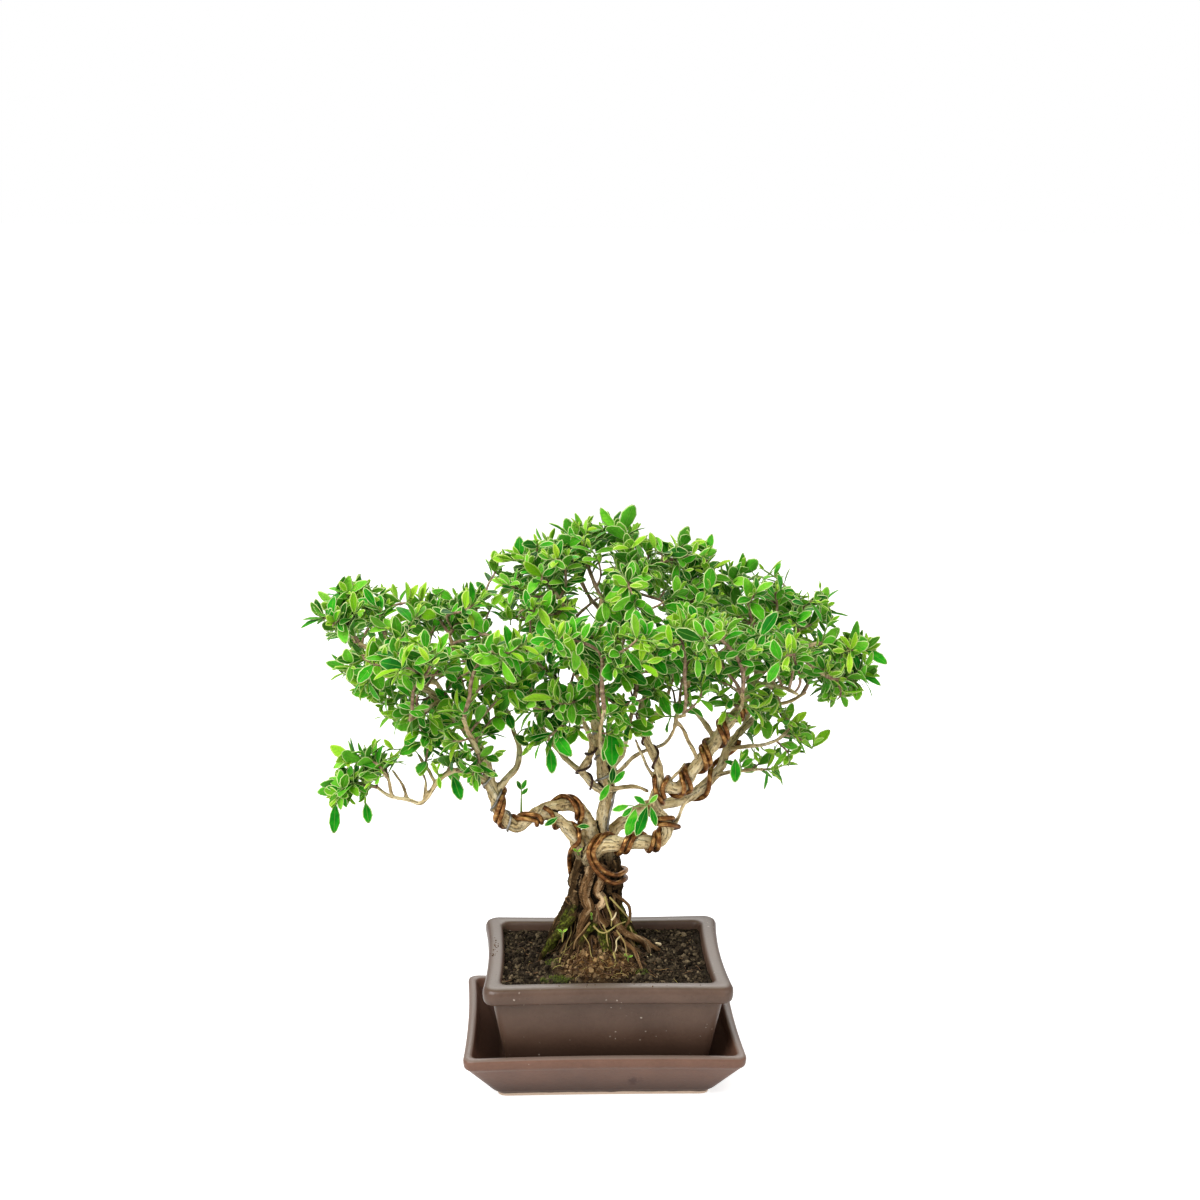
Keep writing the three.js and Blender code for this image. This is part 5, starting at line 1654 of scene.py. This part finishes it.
CANOPY = [
    ("bough_01", (2, 1.7, 1.4, 1.1), [(-68, -9, 187), (-79, -12, 195), (-88, -14, 198), (-94, -15, 196),
        (-101, -16, 190), (-110, -16, 178), (-117, -16, 180), (-127, -14, 181), (-137, -11, 187)]),
    ("bough_02", (1.3, 1.1), [(-127, -14, 181), (-129, -20, 194), (-131, -25, 200)]),
    ("bough_03", (1.3, 1.1), [(-101, -16, 190), (-107, -9, 198), (-112, -2, 204)]),
    ("bough_04", (2.4, 1.8, 1.2), [(-65, -9, 182), (-59, -6, 190), (-53, -2, 196), (-51, 3, 204),
        (-54, 10, 214), (-58, 17, 226)]),
    ("bough_05", (2.2, 1.6, 1.2), [(-79, -8, 217), (-82, 0, 230), (-86, 6, 246), (-90, 8, 262),
        (-93, 7, 276)]),
    ("bough_06", (2, 1.5, 1.2), [(-71, -6, 197), (-76, -24, 213), (-81, -44, 232), (-83, -56, 242)]),
    ("bough_07", (2.2, 1.6, 1.2), [(-83, -10, 223), (-92, 14, 230), (-103, 38, 238), (-111, 54, 245)]),
    ("bough_08", (1.6, 1.2), [(-117, -16, 256), (-125, -7, 268), (-131, -1, 278)]),
    ("bough_09", (1.5, 1.1), [(-134, -14, 268), (-143, -22, 270), (-150, -28, 268)]),
    ("bough_10", (1.6, 1.1), [(-98, -14, 241), (-106, -30, 240), (-114, -46, 238)]),
    ("bough_11", (1.6, 1.2), [(-103, 38, 238), (-122, 42, 238), (-138, 40, 242)]),
    ("centre_stem", (4.2, 3.8, 3.8, 5.6, 4, 3, 2.8, 2.5, 2.1, 1.2), [(-2, 6, 134), (-1, 6, 148),
        (0, 6, 163), (2, 6, 174), (2, 6, 185), (0, 6, 198), (-3, 8, 213), (-6, 10, 231), (-5, 10, 253),
        (-3, 8, 279), (-2, 4, 300)]),
    ("centre_left", (2.4, 2.2, 1.8, 1.2), [(1, 5, 177), (-7, 1, 184), (-13, -2, 193), (-9, -6, 203),
        (-8, -12, 214), (-14, -22, 232), (-21, -31, 247)]),
    ("bough_14", (1.8, 1.5, 1.2), [(-13, -2, 192), (-26, 10, 201), (-35, 16, 211), (-42, 20, 227),
        (-43, 22, 250), (-45, 18, 272)]),
    ("bough_15", (1.8, 1.5, 1.2), [(2, 5, 181), (5, 2, 193), (12, -4, 205), (13, -10, 216),
        (15, -24, 236), (16, -36, 249)]),
    ("bough_16", (2.2, 1.6, 1.2), [(-3, 8, 213), (0, 28, 222), (7, 52, 229), (13, 70, 235)]),
    ("bough_17", (1.8, 1.4, 1.2), [(-6, 10, 231), (-12, 34, 237), (-20, 58, 245), (-27, 74, 252)]),
    ("bough_18", (1.8, 1.4, 1.2), [(2, 5, 188), (-2, -16, 209), (-4, -38, 230), (-3, -54, 243),
        (-3, -64, 250)]),
    ("bough_19", (1.6, 1.2), [(-5, 10, 259), (-15, 4, 280), (-26, 0, 297), (-30, -1, 304)]),
    ("bough_20", (1.5, 1.2), [(-3, 8, 282), (6, 2, 298), (14, -3, 311)]),
    ("bough_21", (1.6, 1.2), [(-5, 10, 253), (-2, 28, 268), (0, 42, 282)]),
    ("bough_22", (1.4, 1.3, 1.1), [(2, 5, 184), (8, 1, 191), (18, -6, 203), (27, -10, 209),
        (35, -14, 214), (40, -18, 223), (42, -32, 240)]),
    ("right_low", (5.2, 5, 3.9, 3.6, 3.6, 3.6, 3.8, 3.8, 3.4, 2.8, 2.2, 1.6, 1.2), [(-7, -1, 130),
        (-7, -5, 142), (0, -9, 148), (12, -11, 150), (24, -13, 152), (33, -15, 153), (38, -16, 159),
        (37, -17, 166), (32, -17, 173), (30, -17, 180), (34, -16, 187), (45, -14, 187), (54, -12, 197),
        (62, -9, 206), (72, -5, 220), (82, -2, 233), (89, 0, 247), (101, 0, 260), (115, -2, 268),
        (127, -3, 273)]),
    ("right_back", (4.4, 3.6, 3.4, 3.2, 2.6, 2, 1.2), [(1, 9, 138), (8, 12, 152), (16, 14, 157),
        (27, 15, 164), (43, 15, 167), (55, 15, 171), (66, 16, 180), (73, 17, 189), (78, 20, 201),
        (88, 28, 211), (102, 36, 222), (112, 42, 232)]),
    ("junction_up", (2.8, 2.6, 2.2, 1.8, 1.2), [(33, -16, 186), (32, -15, 199), (27, -14, 211),
        (23, -12, 222), (22, -8, 232), (27, 0, 246), (36, 8, 264), (42, 11, 282)]),
    ("bough_26", (1.6, 1.2), [(23, -12, 220), (34, 14, 226), (42, 38, 232), (46, 54, 238)]),
    ("bough_27", (1.4, 1.1), [(57, -11, 201), (52, -14, 211), (46, -18, 223), (41, -26, 233),
        (42, -46, 240), (44, -54, 243)]),
    ("bough_28", (1.8, 1.5, 1.2), [(67, -7, 213), (63, -2, 220), (57, 4, 227), (51, 10, 236),
        (55, 14, 254), (60, 14, 270)]),
    ("bough_29", (1.6, 1.2), [(78, -3, 228), (80, -24, 240), (78, -44, 250), (76, -56, 256)]),
    ("bough_30", (1.6, 1.2), [(89, 0, 247), (97, -20, 252), (105, -36, 254), (110, -46, 253)]),
    ("bough_31", (1.8, 1.2), [(91, 0, 250), (93, 4, 267), (91, 6, 284)]),
    ("bough_32", (1.4, 1.1), [(108, -1, 265), (115, 6, 275), (120, 10, 282)]),
    ("bough_33", (1.6, 1.2), [(88, 28, 211), (95, 48, 219), (96, 66, 227), (95, 76, 232)]),
    ("bough_34", (1.4, 1.1), [(64, 16, 179), (77, 12, 188), (88, 8, 190), (98, 4, 192)]),
    ("bough_35", (1.5, 1.3, 1.1), [(78, 19, 200), (87, 12, 204), (97, 6, 207), (107, 2, 212),
        (114, 0, 220)]),
    ("bough_36", (1.4, 1.1), [(112, -2, 267), (122, -12, 262), (130, -20, 257)]),
    ("bough_37", (1.4, 1.1), [(102, 36, 222), (118, 44, 224), (130, 50, 228)]),
]

# Leaf pads of the crown: centre and half sizes

PADS = [
    (-160, -8, 289, 12, 22, 9), (-143, 12, 293, 21, 30, 10), (-108, 18, 291, 16, 26, 9),
    (-142, -18, 265, 12, 22, 10), (-120, -22, 273, 24, 28, 16), (-96, -26, 249, 24, 26, 15),
    (-123, -8, 238, 21, 26, 10), (-78, 10, 292, 15, 26, 12), (-91, -16, 221, 18, 24, 11),
    (-140, -14, 196, 17, 18, 8), (-155, -14, 184, 9, 14, 8), (-96, -14, 201, 9, 12, 6),
    (-76, -14, 208, 11, 12, 8), (-67, -8, 259, 15, 26, 14), (-51, 16, 313, 18, 28, 12),
    (-29, 20, 323, 22, 32, 12), (-2, 12, 329, 26, 34, 13), (28, 12, 319, 23, 30, 12),
    (59, 14, 308, 22, 30, 12), (-32, -6, 305, 24, 30, 15), (8, -14, 306, 22, 26, 12),
    (44, -10, 298, 20, 26, 13), (-54, -22, 276, 18, 24, 12), (-17, -36, 277, 25, 28, 17),
    (17, -36, 276, 25, 28, 17), (-34, -32, 250, 19, 24, 12), (-3, -36, 246, 19, 24, 11),
    (-26, -26, 226, 12, 18, 8), (5, -26, 222, 7, 12, 7), (90, 14, 303, 22, 30, 12),
    (120, 12, 289, 21, 30, 15), (147, 0, 270, 13, 18, 9), (80, -16, 278, 25, 30, 16),
    (117, -12, 265, 25, 28, 16), (146, -4, 258, 13, 20, 8), (55, -22, 255, 19, 26, 11),
    (87, -14, 247, 22, 26, 11), (120, 5, 211, 16, 18, 7), (103, 10, 198, 15, 18, 7),
    (54, -28, 284, 23, 26, 14), (-145, 62, 259, 29, 28, 16), (-95, 64, 272, 27, 30, 16),
    (-38, 78, 275, 27, 30, 16), (13, 84, 280, 29, 30, 16), (64, 78, 275, 29, 30, 16),
    (114, 64, 259, 27, 30, 15), (-26, 52, 313, 24, 26, 13), (28, 50, 306, 22, 24, 12),
    (138, 46, 250, 16, 24, 11), (-63, 60, 247, 21, 24, 11), (57, 62, 239, 23, 24, 11),
    (-107, -54, 276, 21, 22, 12), (-68, -56, 282, 18, 22, 12), (-28, -70, 291, 18, 20, 12),
    (11, -68, 285, 18, 20, 12), (51, -62, 289, 21, 20, 12), (92, -54, 282, 20, 22, 12),
    (-70, -22, 231, 10, 12, 9), (-40, -22, 221, 12, 12, 7), (-4, -28, 226, 10, 10, 7),
    (36, -22, 250, 20, 16, 8), (139, -8, 246, 13, 14, 6), (75, -14, 233, 9, 10, 5),
    (-144, -14, 253, 12, 12, 6), (-36, -25, 243, 16, 14, 9), (102, -6, 236, 13, 14, 6),
    (-136, -14, 206, 17, 14, 5), (54, 14, 325, 14, 16, 7), (-54, -20, 254, 14, 14, 8),
    (-70, -20, 206, 8, 8, 8), (14, -30, 239, 12, 10, 8), (105, -2, 226, 14, 12, 6),
    (-105, -20, 217, 11, 10, 6), (-77, -22, 213, 12, 10, 7), (-65, -22, 237, 10, 10, 7),
    (-84, -20, 251, 9, 10, 6), (-18, -30, 240, 14, 10, 7), (12, -32, 230, 9, 10, 8),
    (-140, -16, 249, 12, 10, 6), (-114, -18, 233, 10, 12, 5), (30, -26, 244, 10, 10, 6),
    (98, -14, 250, 12, 10, 7), (-60, -22, 243, 8, 8, 6), (6, -32, 246, 12, 10, 8),
    (-20, -26, 266, 18, 12, 8), (-4, -24, 256, 14, 12, 8), (-74, -26, 204, 12, 8, 10),
    (30, -24, 240, 12, 10, 6), (-62, -26, 240, 8, 8, 8),
]

# Single leaves that hang below the crown: base and tip

HANGING_LEAVES = [
    ((-143, -15, 178), (-141, -18, 166)),
    ((-91, -15, 195), (-86, -20, 181)), ((-89, -15, 206), (-83, -20, 199)),
    ((-33, -25, 215), (-32, -28, 200)), ((3, -28, 227), (3, -34, 206)),
    ((80, 0, 200), (80, -4, 186)), ((-30, -25, 235), (-26, -28, 219)),
]

# Sprouts on the bare wood and seedlings at the trunk's foot: stem, then base and tip of each leaf

SPROUTS = [
    ([(-137, -11, 187), (-149, -13, 190), (-158, -15, 185), (-161, -15, 177)],
     [((-161, -15, 178), (-162, -18, 160)), ((-157, -15, 186), (-166, -18, 189)),
      ((-158, -15, 185), (-154, -18, 176))]),
    ([(31, -18, 182), (26, -25, 180), (20, -27, 179), (14, -28, 180)],
     [((14, -28, 180), (4, -31, 178)), ((16, -28, 179), (10, -31, 174)),
      ((18, -28, 178), (13, -32, 162)), ((25, -26, 179), (18, -31, 162)),
      ((27, -24, 178), (30, -29, 167)), ((24, -26, 180), (17, -29, 186)),
      ((26, -25, 180), (31, -28, 187))]),
    ([(3, 0, 186), (3, -10, 188), (4, -14, 189)],
     [((3, -14, 189), (-3, -19, 180)), ((4, -14, 189), (5, -17, 200)), ((5, -14, 189), (12, -16, 198))]),
    ([(-50, -6, 168), (-50, -6, 178), (-50, -7, 183)],
     [((-50, -7, 183), (-53, -10, 190)), ((-50, -7, 183), (-47, -9, 190)),
      ((-50, -7, 180), (-46, -10, 185))]),
    ([(-30, -8, 166), (-28, -12, 167)], [((-28, -12, 167), (-36, -15, 163))]),
    ([(-16, -3, 158), (-16, -8, 160)], [((-16, -8, 160), (-9, -11, 161))]),
    ([(15, -22, 74), (15, -22, 81)], [((15, -22, 81), (12, -24, 84)), ((15, -22, 81), (18, -24, 83))]),
    ([(-25, -12, 90), (-25, -14, 94)],
     [((-25, -14, 94), (-28, -16, 97)), ((-25, -14, 94), (-22, -16, 97))]),
    ([(-7, -11, 101), (-7, -13, 104)], [((-7, -13, 104), (-8, -16, 108))]),
    ([(-15, -6, 141), (-16, -9, 144)],
     [((-16, -9, 144), (-19, -11, 147)), ((-16, -9, 144), (-13, -11, 147))]),
]

# See-through gaps in the crown: centre and half sizes in x and z, in the plane y = 0

GAPS = [
    (-104, 281, 8, 8), (-121, 296, 5, 4), (-54, 280, 14, 6), (-6, 306, 9, 13), (30, 299, 12, 8),
    (-166, 274, 10, 8), (84, 285, 7, 5), (-72, 271, 7, 6), (-57, 215, 7, 5), (-5, 190, 12, 10),
    (113, 235, 7, 4), (45, 245, 5, 4), (-100, 246, 5, 4), (-24, 246, 5, 5), (62, 262, 5, 4),
    (-38, 300, 7, 5), (-56, 291, 7, 5), (34, 288, 5, 4), (40, 236, 4, 5), (74, 243, 6, 4),
    (10, 262, 5, 4),
]

# Thin bare roots at the trunk's foot: route, thickness, shade from dark brown to straw

FINE_ROOTS = [
    ([(1, -9, 115), (3, -12, 109), (5, -14, 104), (5, -15, 98)], 0.8, 0.75),
    ([(-6, -16, 99), (-4, -17, 97), (-2, -19, 96), (1, -20, 96), (5, -19, 98), (8, -16, 99),
      (14, -10, 99)], 0.7, 0.72),
    ([(2, -19, 97), (2, -20, 93), (3, -22, 88)], 0.6, 0.7),
    ([(11, -15, 92), (8, -18, 90), (8, -20, 87), (7, -22, 84)], 0.7, 0.95),
    ([(4, -10, 115), (9, -12, 110), (14, -9, 103), (18, -4, 96)], 0.7, 0.7),
    ([(5, -15, 102), (7, -14, 104), (8, -12, 106)], 0.8, 1.0),
    ([(17, -6, 94), (19, -6, 88), (20, -5, 81)], 0.6, 0.7),
    ([(0, -17, 100), (2, -19, 95)], 0.6, 0.7),
    ([(8, -16, 96), (13, -20, 89), (14, -24, 82)], 0.6, 0.65),
    ([(6, -22, 84), (7, -26, 80), (5, -31, 74)], 0.7, 0.75),
    ([(22, -16, 76), (22, -18, 71)], 0.7, 0.75),
    ([(30, -2, 74), (34, -4, 71), (36, -6, 68)], 0.6, 0.9),
    ([(2, -34, 74), (5, -33, 75), (8, -35, 73), (11, -38, 70)], 0.6, 0.95),
    ([(7, -34, 74), (8, -37, 71)], 0.6, 0.9),
    ([(37, 8, 76), (34, 6, 78)], 1.3, 1.0),
    ([(-26, -18, 79), (-28, -24, 72)], 0.6, 0.75),
    ([(-24, -13, 95), (-25, -15, 88)], 0.6, 0.7),
    ([(-8, -13, 100), (-12, -14, 95), (-17, -16, 89), (-18, -17, 84)], 0.8, 0.5),
    ([(28, -8, 75), (24, -14, 72)], 0.6, 0.95),
    ([(-20, -4, 108), (-22, -5, 110), (-23, -6, 113), (-21, -6, 114), (-19, -5, 112)], 0.6, 0.4),
]


# The build

fired_clay = make_fired_clay()
bark_grain = make_bark_grain()
pot_clay = make_pot_clay()
tray_clay = make_tray_clay()
bark = make_bark()
serissa_twig = make_twig()
serissa_leaf = make_leaf()
soil_dark = make_soil()
fibre = make_fibre()
moss_green = make_moss()
copper = make_wire("copper_anodised", ((56, 31, 13), (128, 81, 40), (232, 184, 112)), 0.8, 0.22)
silver = make_wire("silver_aluminium", ((96, 92, 84), (150, 146, 138), (196, 192, 184)), 0.85, 0.35)
dark_brown = make_wire("brown_anodised", ((36, 22, 16), (66, 40, 28), (104, 66, 44)), 0.5, 0.35)
net_plastic = make_net_plastic()

model_pot()
model_tray()
make_soil_bed()
make_granules()
make_fibres()
make_cushion("cushion_front", "moss_front", (-28, -39), (9.5, 3.4, 2.4), 320, 1)
make_cushion("cushion_left", "moss_left", (-30, -18), (5, 3.4, 1.8), 130, 2)
make_cushion("cushion_right", "moss_right", (22, -30), (4, 2.6, 1.2), 70, 3)

# Leaf blades: width, and how far each folds up, arches and lifts its tip

GROWN_LEAVES = [model_leaf(*blade) for blade in [
    (8.8, 0.10, 0.05, -0.06), (8.2, 0.20, 0.03, 0.06),
    (9.6, 0.06, 0.07, -0.16), (8.6, 0.28, 0.04, -0.04)]]
YOUNG_LEAVES = [model_leaf(*blade) for blade in [(7.4, 0.35, 0.04, 0.10), (6.6, 0.50, 0.03, -0.08)]]

core = sample_limb(0, *TRUNK, 0.05, 0.3, 0.6)
roots = [sample_limb(ROOT_NUMBER + i, radii, route, pale, moss, 1.2)
         for i, (_, radii, pale, moss, route) in enumerate(ROOTS)]
stays = [sample_limb(STAY_NUMBER + i, radii, route, wander=0.8)
         for i, (_, radii, route) in enumerate(STAYS)]
boughs = [sample_limb(BOUGH_NUMBER + i, radii, route, wander=0.8)
          for i, (_, radii, route) in enumerate(CANOPY)]
trunk_limbs = [core, *roots, *trunk_strands()]
branch_limbs = [*stays, *boughs]
trunk = grown_mesh("trunk_and_roots", trunk_limbs, TRUNK_VOXEL)
finish_bark(trunk, trunk_limbs, TRUNK_RELIEF, TRUNK_YOUNG)
branches = grown_mesh("branches", branch_limbs, BRANCH_VOXEL)
finish_bark(branches, branch_limbs, BRANCH_RELIEF, BRANCH_YOUNG)

limb_plans = {name: (radii, route) for name, radii, route in [*STAYS, *CANOPY]}
all_limbs = [*trunk_limbs, *branch_limbs]
rounds = np.vstack([obstacle_rounds(limb["line"], limb["radii"]) for limb in all_limbs])

# The pair of wires comes round the trunk from behind

pair_lead = [(6, 26, 121), (13, 19, 123), (15, 8, 126), (12.5, -5, 129), (7, -11, 129.5),
             (2, -12.5, 132), (-2.5, -13, 136), (-5.5, -13, 141)]
lower_lead = [(x, y, z - PAIR_DROP) for x, y, z in pair_lead]

# Windings: node, material, limb, shares of the limb's length from and to, mm per turn, angle at the
# limb's start, wire radius, and the wire's way to the limb. The first two run side by side.

windings = [
    ("wire_right_inner", copper, "right_low", 0.10, 0.74, -PAIR_PITCH, 0.25 * FULL_TURN, THICK_WIRE,
     [*pair_lead, (-6.2, -13.5, 146.5)]),
    ("wire_right_outer", copper, "right_low", 0.083, 0.74, -PAIR_PITCH,
     (0.25 - PAIR_GAP / PAIR_PITCH) * FULL_TURN, THICK_WIRE,
     [*lower_lead, (-9, -13, 142), (-8.5, -13, 147)]),
    ("wire_right_outer", copper, "right_back", 0.42, 0.72, -36, 1.75, THICK_WIRE, []),
    ("wire_left_arch", copper, "left_arch", 0.10, 0.50, 30, 1.6, THICK_WIRE, []),
    ("wire_left_arch", copper, "left_arch", 0.11, 0.46, 30, 0.8, THICK_WIRE, []),
    ("wire_left_prop", copper, "left_prop", 0.36, 0.84, 20, 1.63, THICK_WIRE,
     [(-18, 5, 127), (-20.5, 1.5, 133), (-20.5, -2, 139), (-18.5, -5.5, 145), (-15, -7.5, 150)]),
    ("wire_silver_left", silver, "left_arch", 0.34, 0.50, 15, 5.0, THIN_WIRE, []),
    ("wire_silver_stem", silver, "centre_stem", 0.257, 0.50, 14, 0.5, THIN_WIRE,
     [(2.4, 2.6, 148), (3, 2.6, 154), (3.4, 2.8, 160), (4.4, 2.6, 166), (6, 2.4, 172)]),
    ("wire_dark_left", dark_brown, "centre_left", 0.12, 0.50, 14, 0.5, THIN_WIRE, []),
    ("wire_dark_right", dark_brown, "junction_up", 0.10, 0.45, 16, 0.5, THIN_WIRE, []),
]
for number, (node, material, limb, start, end, pitch, phase, radius, lead) in enumerate(windings):
    led = [push_off(np.array(point, float), radius, rounds) for point in lead]
    wound = wind(limb_plans[limb], start, end, pitch, phase, radius, rounds)
    name = node.replace("wire_", "training_wire_%d_" % number)
    wire_rounds = make_wire_piece(name, node, material, [*led, *wound], radius)
    rounds = np.vstack([rounds, wire_rounds])

make_crown(boughs, stays[0])

for node in ("drain_net_left", "drain_net_right"):
    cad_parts[node].data.materials.clear()
    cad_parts[node].data.materials.append(net_plastic)

set_stage()
set_camera()
bpy.context.scene.view_settings.view_transform = "Standard"
